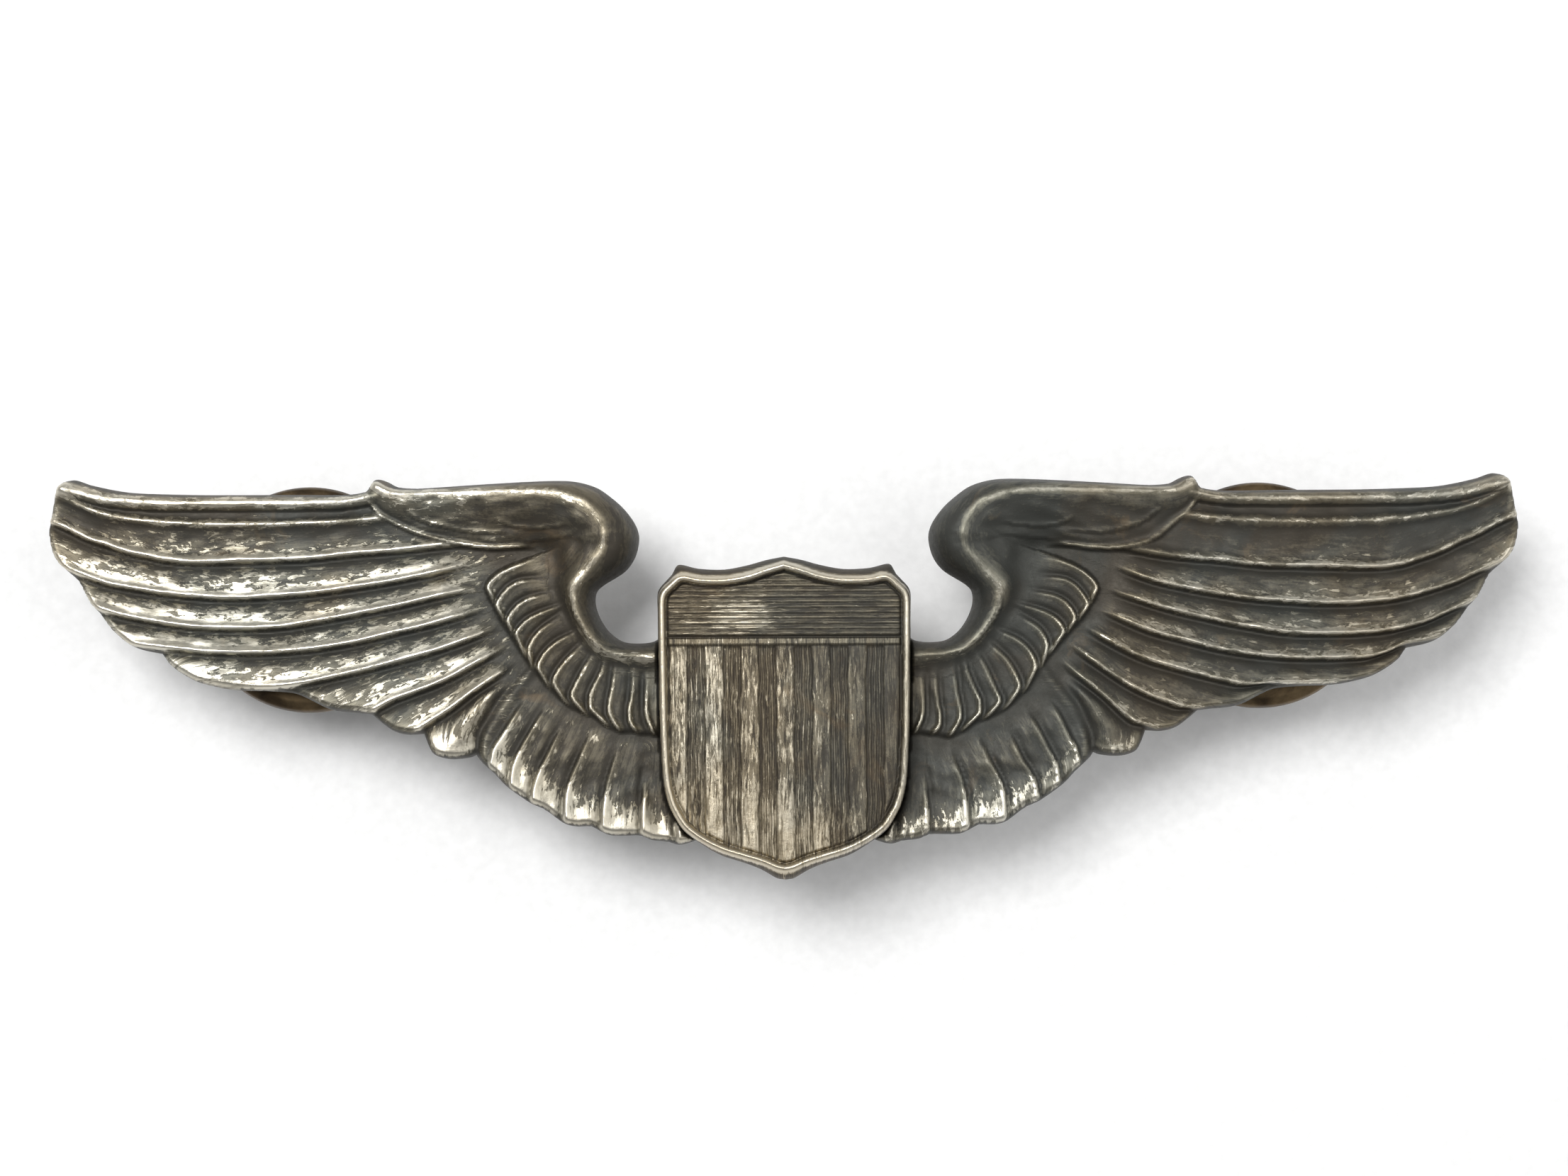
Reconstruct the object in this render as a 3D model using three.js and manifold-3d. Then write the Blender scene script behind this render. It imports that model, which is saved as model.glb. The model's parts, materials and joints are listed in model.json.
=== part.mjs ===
// Pilot wings pin: a struck metal wing badge with an applied shield and two butterfly clutches.
// Millimetres, +X along the wingspan, +Y towards the wing tops, +Z out of the badge's face.
// The pin lies face up on the finger tabs of its clutches, with z = 0 under the tabs.
import * as THREE from "three";
import { mergeVertices } from "three/addons/utils/BufferGeometryUtils.js";
import Module from "manifold-3d";

const wasm = await Module();
wasm.setup();

// Badge heights
const BACK_Z = 7.2; // flat back of the wings
const PLATE = 1.0; // thickness of the wings' ground
const ROOT = 0.4; // depth at which each raised feather starts, inside the ground
const SHIELD_Z = BACK_Z + PLATE + 0.02;
const SHIELD_TALL = 2.45;
const MIDDLE_Y = 0.01; // middle of the badge's height, between the wing tips and the shield's point

// Fastenings
const POST_X = 25;
const POST_Y = 4.2;
const POST_R = 0.55;
const POST_TIP_Z = 0.3;
const PAD_R = 2.3;
const PAD_THICK = 0.6;
const DISC_R = 5.95;
const DISC_Z = 6.0; // the disc's front face
const SHEET = 0.35;
const RUNNING = 0.07; // radial clearance of the pieces that turn or slide
const SEAT = 0.02; // gap between pieces that touch
const CHEEK_X = 2.35; // outer faces of the saddle's cheeks
const PIVOT_Y = 1.9;
const PIVOT_Z = 3.0;
const TRUNNION_R = 0.35;

// Half outline of the wings, from behind the shield along the top edge to the tip and back below.
const WING_TOP = [
  [6.2, 2.9], [6.5, 2.0], [7.2, 1.8], [8.3, 1.85], [9.0, 2.3], [9.5, 3.0], [9.8, 3.8], [9.7, 4.4],
  [9.35, 4.8], [8.3, 5.5], [7.7, 6.2], [7.5, 7.2], [7.7, 8.0], [8.4, 8.85], [9.4, 9.7], [10.0, 9.95],
  [10.8, 10.15], [13, 10.2], [15, 10.1], [17, 10.0], [19, 9.85], [20, 9.95], [20.5, 10.2],
  [20.9, 10.3], [21.25, 10.3], [21.4, 10.0], [21.7, 9.7], [22.7, 9.55], [26, 9.55], [30, 9.6],
  [33, 9.65], [35, 9.9], [36, 10.15], [36.9, 10.4], [37.5, 10.1], [37.8, 9.3], [38.0, 8.4],
];
const WING_BOTTOM = [
  [38.1, 7.8], [37.9, 6.9], [37.3, 5.8], [36.55, 5.15], [36.2, 4.55], [35.8, 3.95], [35.0, 2.85],
  [33.9, 1.8], [33.2, 1.55], [32.2, 1.35], [31.8, 0.75], [31.1, 0.3], [30.3, -0.15], [29, -0.45],
  [26.7, -0.6], [25.3, -0.75], [24.4, -1.15], [23.0, -1.7], [21.4, -1.8], [20.75, -2.35],
  [20.2, -2.7], [19.5, -2.9], [18.65, -2.85], [18.45, -3.45], [18.15, -3.9], [17, -4.2],
  [15.95, -3.95], [15.0, -4.95], [13.9, -5.95], [12.5, -6.75], [11.4, -7.5], [10.8, -7.7],
  [10, -7.7], [9.0, -8.15], [7.4, -8.2], [6.9, -8.4], [5.5, -8.65], [4.8, -8.5], [4.2, -8.2],
];

// The leading edge and its two beads, then the lower edges of the long feathers, from the tip inwards.
const LEADING_EDGE = [[36.9, 10.4], [36, 10.15], [35, 9.9], [33, 9.65], [30, 9.6], [26, 9.55], [22, 9.6]];
const BEAD_OUTER = [[36.9, 9.8], [35, 9.35], [32, 9.1], [27, 9.05], [21.9, 9.2]];
const BEAD_INNER = [[37.2, 9.4], [35.5, 8.7], [33, 8.15], [28, 7.95], [21.6, 8.2]];
const FEATHER_EDGES = [
  [[37.9, 7.9], [36, 7.0], [34, 6.35], [32, 5.9], [30, 5.75], [25, 5.9], [22, 6.2], [17, 6.65]],
  [[36.3, 5.2], [34, 4.5], [32, 4.2], [30, 4.0], [28, 3.95], [25, 4.1], [20, 4.8], [15.6, 5.8]],
  [[35.4, 3.4], [34, 3.0], [32, 2.65], [30, 2.4], [28, 2.35], [24, 2.7], [20, 3.5], [15.2, 4.6]],
  [[32.2, 1.4], [30, 1.15], [28, 1.1], [26, 1.15], [24, 1.3], [20, 2.1], [17, 2.85], [15.0, 3.45]],
  [[26.5, -0.62], [25, -0.5], [24, -0.35], [22, 0.1], [20, 0.6], [18, 1.15], [16, 1.85], [14.3, 2.5]],
  [[21.3, -1.85], [20, -1.35], [19, -1.0], [18, -0.6], [17, -0.15], [16, 0.4], [15, 1.0], [13.7, 1.7]],
  [[18.7, -2.85], [18, -2.4], [17, -1.75], [16, -1.0], [15, -0.3], [14.5, 0.05], [13.4, 0.8]],
  [[16.0, -3.95], [15.85, -3.0], [15.4, -2.1], [14.85, -1.2], [14.1, -0.3], [12.9, 0.4]],
];

// Rims of the short lower feathers, from the free tip up to the coverts, shield side last.
const SHORT_FEATHERS = [
  [[15.3, -4.4], [14.75, -3.0], [13.6, -1.2], [12.6, -0.2]],
  [[14.3, -5.5], [13.95, -4.0], [13.4, -3.0], [12.1, -1.0]],
  [[13.15, -6.3], [12.75, -4.6], [12.3, -3.8], [11.2, -1.9]],
  [[11.5, -7.3], [11.3, -5.4], [10.9, -4.5], [9.9, -2.4]],
  [[9.6, -7.8], [9.4, -5.7], [9.1, -4.6], [8.6, -3.0]],
  [[7.5, -8.1], [7.5, -6.2], [7.4, -4.9], [7.2, -3.2]],
  [[5.3, -8.5], [5.6, -6.2], [5.8, -4.9], [6.0, -3.2]],
];

// Rims of the overlapping coverts, one tip each.
const COVERTS = [
  [[13.4, 6.1], [14.7, 5.55], [15.45, 4.65], [15.3, 4.2]],
  [[13.1, 5.2], [14.3, 4.8], [15.0, 3.75], [14.7, 3.1]],
  [[12.6, 4.4], [13.8, 3.9], [14.45, 2.9], [14.3, 2.6]],
  [[11.9, 3.8], [13.4, 3.1], [14.05, 2.2], [13.9, 1.9]],
  [[12.0, 3.0], [13.0, 2.15], [13.4, 1.5], [13.2, 0.9]],
  [[11.1, 2.4], [12.4, 1.4], [12.9, 0.4], [12.7, 0.1]],
  [[10.8, 1.6], [11.8, 0.4], [12.1, -0.3], [11.8, -0.85]],
  [[10.2, 1.0], [10.9, -0.3], [11.15, -1.0], [10.7, -1.65]],
  [[9.5, 1.0], [9.95, -0.3], [10.2, -1.2], [9.9, -1.95]],
  [[8.9, 0.4], [9.1, -0.6], [9.2, -1.6], [8.85, -2.55]],
  [[8.0, 0.2], [8.1, -0.9], [8.2, -2.0], [7.9, -2.75]],
  [[7.2, 0.0], [7.3, -1.2], [7.3, -2.1], [7.0, -2.9]],
];
const COVERT_REACH = [-2.1, 0.9]; // from each covert's rim to where it tucks under the next

// The arm along the wing's top, round the wrist and down to the shoulder.
const ARM_OUTER = [
  [21.2, 10.2], [19, 9.8], [15, 10.0], [11.6, 10.1], [9.5, 9.6], [8.4, 8.8], [7.7, 8.0], [7.55, 7.2],
  [7.8, 6.2], [9.4, 4.85], [9.85, 3.9], [9.5, 2.95], [8.4, 1.9], [6.8, 1.75],
];
const ARM_CREST = [
  [20.6, 9.4], [18.5, 9.2], [15, 9.2], [12.4, 9.2], [10.7, 8.9], [9.8, 8.3], [9.3, 7.7], [9.2, 7.0],
  [9.6, 6.1], [10.9, 4.4], [10.8, 3.4], [10.3, 2.2], [8.9, 1.2], [7.0, 0.9],
];
const ARM_INNER = [
  [21.0, 8.5], [18.6, 7.3], [16, 6.7], [14, 6.6], [13, 6.6], [12.3, 6.5], [11.8, 6.3], [11.4, 6.0],
  [11.9, 5.2], [12.4, 4.4], [12.0, 3.0], [11.0, 1.6], [9.4, 0.3], [7.0, 0.0],
];

// Half outline of the shield, from the middle of its top edge down to its point.
const SHIELD_HALF = [
  [0, 6.15], [1.8, 5.75], [3.0, 5.5], [4.4, 5.55], [5.4, 5.75], [5.75, 5.25], [6.35, 4.6], [6.5, 4.1],
  [6.5, 2.9], [6.4, -2.1], [6.3, -4.4], [6.2, -5.5], [5.95, -6.5], [5.6, -7.2], [5.2, -7.9],
  [4.3, -8.55], [3.3, -9.1], [2.1, -9.5], [1.2, -9.85], [0, -10.38],
];
const SHIELD_MIDDLE_Y = -2.1;
const CHIEF_TOP = 4.9;
const CHIEF_RIDGES = 9;
const CHIEF_PITCH = 0.31;
const BAR = [1.58, 1.95];
const STRIPES = 7;
const STRIPE_PITCH = 1.75;
const STRIPE_WIDE = 0.85;

const metal = (color, roughness) =>
  new THREE.MeshStandardMaterial({ color, roughness, metalness: 1 });

// A manifold-3d solid of a three.js geometry, and the way back.
function solid(geometry) {
  const bare = geometry.clone();
  bare.deleteAttribute("normal");
  bare.deleteAttribute("uv");
  const merged = mergeVertices(bare, 1e-4);
  return new wasm.Manifold(
    new wasm.Mesh({
      numProp: 3,
      vertProperties: merged.attributes.position.array,
      triVerts: new Uint32Array(merged.index.array),
    }),
  );
}

function geometryOf(made) {
  const mesh = made.getMesh();
  const geometry = new THREE.BufferGeometry();
  geometry.setAttribute("position", new THREE.BufferAttribute(mesh.vertProperties, mesh.numProp));
  geometry.setIndex(new THREE.BufferAttribute(mesh.triVerts, 1));
  geometry.computeVertexNormals();
  return geometry;
}

const union = (solids) => solids.reduce((whole, piece) => whole.add(piece));
const mirrored = (points) => points.map(([x, y]) => [-x, y]);

// A closed prism of an outline between two heights.
function prism(points, low, high) {
  const shape = new THREE.Shape(points.map(([x, y]) => new THREE.Vector2(x, y)));
  const geometry = new THREE.ExtrudeGeometry(shape, { depth: high - low, bevelEnabled: false });
  return solid(geometry.translate(0, 0, low));
}

// The point at a share of a polyline's length.
function along(points, share) {
  const steps = points.slice(1).map((p, i) => Math.hypot(p[0] - points[i][0], p[1] - points[i][1]));
  let left = share * steps.reduce((a, b) => a + b, 0);
  let i = 0;
  while (i < steps.length - 1 && left > steps[i]) left -= steps[i++];
  const t = Math.min(left / steps[i], 1);
  return points[i].map((value, k) => value + t * (points[i + 1][k] - value));
}

// A closed body between rails that run the same way; each rail is a polyline at one height.
function loft(rails, stations) {
  const ring = rails.length;
  const vertices = [];
  for (let s = 0; s < stations; s++)
    for (const [points, z] of rails) {
      const [x, y] = along(points, s / (stations - 1));
      vertices.push(x, y, BACK_Z + z);
    }
  const faces = [];
  for (let s = 0; s < stations - 1; s++)
    for (let r = 0; r < ring; r++) {
      const a = s * ring + r;
      const b = s * ring + ((r + 1) % ring);
      faces.push(a, b, a + ring, b, b + ring, a + ring);
    }
  const last = (stations - 1) * ring;
  for (let r = 1; r < ring - 1; r++)
    faces.push(0, r + 1, r, last, last + r, last + r + 1);
  const geometry = new THREE.BufferGeometry();
  geometry.setAttribute("position", new THREE.Float32BufferAttribute(vertices, 3));
  geometry.setIndex(faces);
  const made = solid(geometry);
  if (made.volume() > 0) return made;
  geometry.setIndex(faces.reverse());
  return solid(geometry);
}

const shifted = (points, [dx, dy]) => points.map(([x, y]) => [x + dx, y + dy]);

// A feather: high along its free edge, low where it tucks under its neighbour.
function feather(free, neighbour, reach, high, low, stations) {
  const tucked = shifted(neighbour, reach);
  return loft([[free, ROOT], [free, high], [tucked, low], [tucked, ROOT]], stations);
}

function wingRelief() {
  const pieces = [];
  const top = shifted(LEADING_EDGE, [0, -0.14]);
  pieces.push(
    loft(
      [
        [top, ROOT], [top, 1.15], [BEAD_OUTER, 1.75], [BEAD_INNER, 1.7],
        [FEATHER_EDGES[0], 1.6], [FEATHER_EDGES[0], ROOT],
      ],
      9,
    ),
  );
  for (let i = 1; i < FEATHER_EDGES.length; i++)
    pieces.push(feather(FEATHER_EDGES[i], FEATHER_EDGES[i - 1], [0, 0.35], 1.6, 1.12, 8));
  for (let i = 0; i < SHORT_FEATHERS.length - 1; i++)
    pieces.push(feather(SHORT_FEATHERS[i], SHORT_FEATHERS[i + 1], [-0.3, 0.15], 1.7, 1.3, 4));
  for (const rim of COVERTS) pieces.push(feather(rim, rim, COVERT_REACH, 1.95, 1.5, 4));
  pieces.push(
    loft(
      [
        [ARM_OUTER, ROOT], [ARM_OUTER, 1.6], [ARM_CREST, 2.6], [ARM_INNER, 1.9], [ARM_INNER, ROOT],
      ],
      ARM_CREST.length,
    ),
  );
  return union(pieces);
}

function wingPlate() {
  const half = [...WING_TOP, ...WING_BOTTOM];
  const outline = [...half, ...mirrored(half).reverse()];
  const high = BACK_Z + 4;
  const ground = prism(outline, BACK_Z, BACK_Z + PLATE);
  const right = wingRelief();
  const left = right.mirror([1, 0, 0]);
  const relief = right.add(left).intersect(prism(outline, BACK_Z + 0.2, high));
  const pocket = prism(shieldOutline(1.015), BACK_Z + PLATE, high);
  return geometryOf(ground.add(relief).subtract(pocket));
}

function shieldOutline(scale) {
  const half = SHIELD_HALF.map(([x, y]) => [
    x * scale,
    SHIELD_MIDDLE_Y + (y - SHIELD_MIDDLE_Y) * scale,
  ]);
  return [...half, ...mirrored(half).slice(1, -1).reverse()];
}

// The shield: sloped walls, a bead round the rim and a sunk field under raised bars.
function shield() {
  const levels = [[1, 0], [1, 0.8], [0.935, 2.35], [0.91, SHIELD_TALL], [0.885, 2.35], [0.87, 2.0]];
  const rings = levels.map(([scale, z]) => [shieldOutline(scale), z]);
  const count = rings[0][0].length;
  const vertices = rings.flatMap(([points, z]) => points.flatMap(([x, y]) => [x, y, SHIELD_Z + z]));
  vertices.push(0, SHIELD_MIDDLE_Y, SHIELD_Z, 0, SHIELD_MIDDLE_Y, SHIELD_Z + 2.15);
  const [under, over] = [rings.length * count, rings.length * count + 1];
  const faces = [];
  for (let k = 0; k < count; k++) {
    const next = (k + 1) % count;
    for (let r = 0; r < rings.length - 1; r++) {
      const [a, b] = [r * count + k, r * count + next];
      faces.push(a, a + count, b, b, a + count, b + count);
    }
    const topRing = (rings.length - 1) * count;
    faces.push(under, k, next, over, topRing + next, topRing + k);
  }
  const geometry = new THREE.BufferGeometry();
  geometry.setAttribute("position", new THREE.Float32BufferAttribute(vertices, 3));
  geometry.setIndex(faces);
  const field = prism(shieldOutline(0.89), SHIELD_Z + 1, SHIELD_Z + 3);
  const block = (x0, x1, y0, y1, top) =>
    prism([[x0, y0], [x1, y0], [x1, y1], [x0, y1]], SHIELD_Z + 1.5, SHIELD_Z + top);
  const bars = [block(-6, 6, BAR[0], BAR[1], 2.36)];
  for (let i = 0; i < CHIEF_RIDGES; i++) {
    const y = CHIEF_TOP - i * CHIEF_PITCH;
    bars.push(block(-6, 6, y - 0.08, y + 0.08, 2.28));
  }
  for (let i = 0; i < STRIPES; i++) {
    const x = (i - (STRIPES - 1) / 2) * STRIPE_PITCH;
    bars.push(block(x - STRIPE_WIDE / 2, x + STRIPE_WIDE / 2, -11, 1.2, 2.34));
  }
  return geometryOf(solid(geometry).add(union(bars).intersect(field)));
}

// A turned body about Z from a closed profile of radius and height.
function turned(profile, segments) {
  const points = [...profile, profile[0]].map(([r, z]) => new THREE.Vector2(r, z));
  return new THREE.LatheGeometry(points, segments).rotateX(Math.PI / 2);
}

// A body of one outline in Y and Z, of even width across X.
function across(points, x0, x1) {
  const shape = new THREE.Shape(points.map(([y, z]) => new THREE.Vector2(y, z)));
  const geometry = new THREE.ExtrudeGeometry(shape, { depth: x1 - x0, bevelEnabled: false });
  return solid(geometry.rotateX(Math.PI / 2).rotateZ(Math.PI / 2).translate(x0, 0, 0));
}

// The outline of a bent sheet, from its middle line in Y and Z.
function bent(line, thick) {
  const side = (sign) =>
    line.map(([y, z], i) => {
      const before = line[Math.max(i - 1, 0)];
      const after = line[Math.min(i + 1, line.length - 1)];
      const unit = (p, q) => {
        const long = Math.hypot(q[0] - p[0], q[1] - p[1]);
        return long > 0 ? [(q[0] - p[0]) / long, (q[1] - p[1]) / long] : null;
      };
      const into = unit(before, [y, z]) ?? unit([y, z], after);
      const out = unit([y, z], after) ?? into;
      const half = (sign * thick) / 2;
      const mitre = 1 + into[0] * out[0] + into[1] * out[1];
      return [y - ((into[1] + out[1]) / mitre) * half, z + ((into[0] + out[0]) / mitre) * half];
    });
  return [...side(1), ...side(-1).reverse()];
}

const rod = (radius, x0, x1, y, z) =>
  solid(
    new THREE.CylinderGeometry(radius, radius, x1 - x0, 20)
      .rotateZ(Math.PI / 2)
      .translate((x0 + x1) / 2, y, z),
  );
const upright = (radius, z0, z1) =>
  solid(
    new THREE.CylinderGeometry(radius, radius, z1 - z0, 32)
      .rotateX(Math.PI / 2)
      .translate(0, 0, (z0 + z1) / 2),
  );

function post() {
  const top = BACK_Z - SEAT - PAD_THICK - SEAT;
  const [neck, neckR] = [1.5, 0.4];
  return turned(
    [
      [0, top], [0, POST_TIP_Z], [0.12, POST_TIP_Z + 0.05], [POST_R, neck - 0.3], [neckR, neck],
      [neckR, neck + 0.35], [POST_R, neck + 0.6], [POST_R, top],
    ],
    24,
  );
}

function pad() {
  const [top, low] = [BACK_Z - SEAT, BACK_Z - SEAT - PAD_THICK];
  return turned([[0, top], [0, low], [PAD_R - 0.25, low], [PAD_R, low + 0.2], [PAD_R, top]], 32);
}

function eyelet() {
  const bore = POST_R + RUNNING;
  const low = DISC_Z - 2 * SHEET - 2 * SEAT;
  return turned(
    [
      [bore, 5.05], [1.5, 5.05], [1.5, low - SEAT], [0.98, low - SEAT], [0.98, DISC_Z + SEAT],
      [1.7, DISC_Z + SEAT], [1.6, DISC_Z + 0.2], [bore, DISC_Z + 0.2],
    ],
    32,
  );
}

// A shallow cup whose rim turns back towards the finger tabs.
function disc() {
  const hole = 0.98 + RUNNING;
  const inner = DISC_R - SHEET;
  return turned(
    [
      [hole, DISC_Z], [hole, DISC_Z - SHEET], [inner - 0.35, DISC_Z - SHEET], [inner, DISC_Z - 0.7],
      [inner, DISC_Z - 1.2], [DISC_R, DISC_Z - 1.2], [DISC_R, DISC_Z - 0.5], [DISC_R - 0.15, DISC_Z - 0.15],
      [DISC_R - 0.5, DISC_Z],
    ],
    48,
  );
}

// A bridge under the disc with two cheeks that carry the finger tabs and hold the spring.
function saddle() {
  const top = DISC_Z - SHEET - SEAT;
  const plate = across(
    [[-2.9, top - SHEET], [2.9, top - SHEET], [2.9, top], [-2.9, top]], -CHEEK_X, CHEEK_X,
  );
  const cheek = [
    [-2.9, top - SHEET / 2], [-2.9, 2.6], [-2.5, 2.2], [2.5, 2.2], [2.9, 2.6], [2.9, top - SHEET / 2],
  ];
  const holes = [1, -1].map((s) => rod(TRUNNION_R + RUNNING, -3, 3, s * PIVOT_Y, PIVOT_Z));
  const slot = across([[-0.56, 2.54], [0.56, 2.54], [0.56, 2.82], [-0.56, 2.82]], -3, 3);
  const cheeks = across(cheek, -CHEEK_X, SHEET - CHEEK_X).add(across(cheek, CHEEK_X - SHEET, CHEEK_X));
  const bore = upright(0.98 + RUNNING, 4.5, 6.5);
  return geometryOf(plate.add(cheeks).subtract(bore).subtract(union([...holes, slot])));
}

// A leaf between the finger tabs, keyed into the cheeks by two lugs.
function springLeaf() {
  const thick = 0.16;
  const middle = 2.68;
  const side = [[1.0, middle], [1.35, 2.35], [2.05, 1.75]];
  const line = [...side.map(([y, z]) => [-y, z]).reverse(), ...side];
  const leaf = across(bent(line, thick), -1.3, 1.3);
  const half = thick / 2;
  const lugs = across(
    [[-0.5, middle - half], [0.5, middle - half], [0.5, middle + half], [-0.5, middle + half]],
    -CHEEK_X + 0.05, CHEEK_X - 0.05,
  );
  return geometryOf(leaf.add(lugs).subtract(upright(POST_R + 0.25, 2, 3.2)));
}

// A lever: the jaw grips the post above the pivot, the ear below it is squeezed between fingers.
function fingerTab(sign) {
  const thick = 0.4;
  const jaw = [[0.35, 4.4], [1.2, 4.3], [PIVOT_Y, PIVOT_Z], [2.5, 2.15], [2.8, 1.75]];
  const ear = [[2.62, 1.99], [3.6, 0.68], [4.05, thick / 2], [4.9, thick / 2]];
  const facing = (line) => (sign > 0 ? line : line.map(([y, z]) => [-y, z]).reverse());
  const inner = CHEEK_X - SHEET - 0.1;
  const pieces = [
    across(facing(bent(jaw, thick)), -inner, inner),
    across(facing(bent(ear, thick)), -2.9, 2.9),
    rod(0.62, -inner, inner, sign * PIVOT_Y, PIVOT_Z),
    rod(TRUNNION_R, -CHEEK_X, CHEEK_X, sign * PIVOT_Y, PIVOT_Z),
  ];
  return geometryOf(union(pieces).subtract(upright(POST_R + 0.1, 3.8, 5)));
}

const silver = 0xa8a49c;
const dull = 0x8c8478;
const brass = 0x9a7b4c;

const group = new THREE.Group();
function place(parent, name, geometry, material) {
  const mesh = new THREE.Mesh(geometry, material);
  mesh.name = name;
  parent.add(mesh);
}

const badge = new THREE.Group();
badge.position.y = -MIDDLE_Y;
group.add(badge);
place(badge, "wing_plate", wingPlate(), metal(silver, 0.35));
place(badge, "shield", shield(), metal(dull, 0.4));
for (const [side, sign] of [["left", -1], ["right", 1]]) {
  const fastening = new THREE.Group();
  fastening.position.set(sign * POST_X, POST_Y, 0);
  badge.add(fastening);
  place(fastening, `post_pad_${side}`, pad(), metal(silver, 0.4));
  place(fastening, `post_${side}`, post(), metal(silver, 0.3));
  place(fastening, `clutch_eyelet_${side}`, eyelet(), metal(brass, 0.35));
  place(fastening, `clutch_disc_${side}`, disc(), metal(brass, 0.4));
  place(fastening, `clutch_saddle_${side}`, saddle(), metal(brass, 0.4));
  place(fastening, `clutch_spring_${side}`, springLeaf(), metal(silver, 0.3));
  place(fastening, `tab_upper_${side}`, fingerTab(1), metal(brass, 0.38));
  place(fastening, `tab_lower_${side}`, fingerTab(-1), metal(brass, 0.38));
}

export default group;
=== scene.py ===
"""Pilot wings pin: the visual model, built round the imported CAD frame."""
import json
import math

import bmesh
import bpy
import numpy as np
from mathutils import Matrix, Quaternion, Vector
from mathutils.geometry import delaunay_2d_cdt


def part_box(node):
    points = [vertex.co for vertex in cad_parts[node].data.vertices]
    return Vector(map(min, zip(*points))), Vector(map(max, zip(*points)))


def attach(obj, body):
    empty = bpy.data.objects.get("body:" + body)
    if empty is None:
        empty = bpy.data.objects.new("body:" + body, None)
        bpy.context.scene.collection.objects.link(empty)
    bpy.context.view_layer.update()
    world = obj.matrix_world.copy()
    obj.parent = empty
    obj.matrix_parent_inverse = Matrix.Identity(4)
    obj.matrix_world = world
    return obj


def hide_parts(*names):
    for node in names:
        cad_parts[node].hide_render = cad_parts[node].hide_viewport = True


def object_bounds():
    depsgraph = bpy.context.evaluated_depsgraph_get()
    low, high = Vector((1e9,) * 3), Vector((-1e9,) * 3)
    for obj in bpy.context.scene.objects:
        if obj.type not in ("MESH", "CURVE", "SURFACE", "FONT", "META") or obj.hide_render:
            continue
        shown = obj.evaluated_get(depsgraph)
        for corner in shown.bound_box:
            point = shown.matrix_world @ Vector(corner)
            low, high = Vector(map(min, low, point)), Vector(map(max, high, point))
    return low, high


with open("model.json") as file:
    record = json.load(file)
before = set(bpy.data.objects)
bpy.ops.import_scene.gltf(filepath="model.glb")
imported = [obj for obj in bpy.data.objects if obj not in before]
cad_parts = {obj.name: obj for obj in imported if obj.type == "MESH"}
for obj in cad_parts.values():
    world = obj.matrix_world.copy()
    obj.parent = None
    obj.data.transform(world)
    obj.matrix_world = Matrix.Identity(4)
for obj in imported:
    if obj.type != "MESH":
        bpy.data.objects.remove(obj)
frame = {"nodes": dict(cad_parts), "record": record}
cad_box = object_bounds()

# Lengths are in millimetres, and places in a wing or the shield are measured from the badge's middle.
MM = 0.001
SHIELD_FOOT = 10.38
shield_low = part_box("shield")[0] / MM
BACK_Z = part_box("wing_plate")[0].z / MM
SHIELD_BACK = shield_low.z
MIDDLE_Y = shield_low.y + SHIELD_FOOT

# ---------------- curves and shapes in the plane


def smooth(a, b, x):
    """0 up to a, 1 from b on, and a soft step between them."""
    t = np.clip((x - a) / (b - a), 0, 1)
    return t * t * (3 - 2 * t)


def line_of(x, middle, width):
    """A soft line: 1 where x is at its middle, falling to 0 over about its width."""
    return np.exp(-((x - middle) / width) ** 2)


def dome(x):
    """A half circle: 1 at x = 0, and 0 from 1 on, to either side."""
    return np.sqrt(np.clip(1 - x ** 2, 0, 1))


def share(a, b):
    """How far a point is on its way from one line to the next, from its distances to the two."""
    return a / (a + b + 1e-9)


WAVES = [
    (1.9, 1.1, 0.3), (-1.3, 2.6, 1.7), (3.1, -1.2, 4.1), (0.7, 4.4, 2.2), (-4.2, 1.9, 5.0), (2.6, 5.3, 0.9),
]


def swell(x, y):
    """A slow uneven swell between about -1 and 1, as on metal worked by hand."""
    return sum(np.sin(a * x + b * y + c) for a, b, c in WAVES) / 2.6


def spline(points, step=0.4, corners=()):
    """A smooth line through the points (Catmull-Rom), straight into any corner."""
    p = np.array(points, float)
    n = len(p)
    sharp = [tuple(q) in corners for q in points]
    out = []
    for i in range(n - 1):
        a, b = p[i], p[i + 1]
        leave = (b - p[i - 1]) / 2 if i > 0 and not sharp[i] else (b - a)
        arrive = (p[i + 2] - a) / 2 if i + 2 < n and not sharp[i + 1] else (b - a)
        length = np.linalg.norm(b - a)
        leave *= min(1, length / max(np.linalg.norm(leave), 1e-9))
        arrive *= min(1, length / max(np.linalg.norm(arrive), 1e-9))
        count = max(1, int(np.ceil(length / step)))
        for k in range(count):
            t = k / count
            ends = (2 * t**3 - 3 * t**2 + 1) * a + (3 * t**2 - 2 * t**3) * b
            out.append(ends + (t**3 - 2 * t**2 + t) * leave + (t**3 - t**2) * arrive)
    out.append(p[-1])
    return np.array(out)


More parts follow.
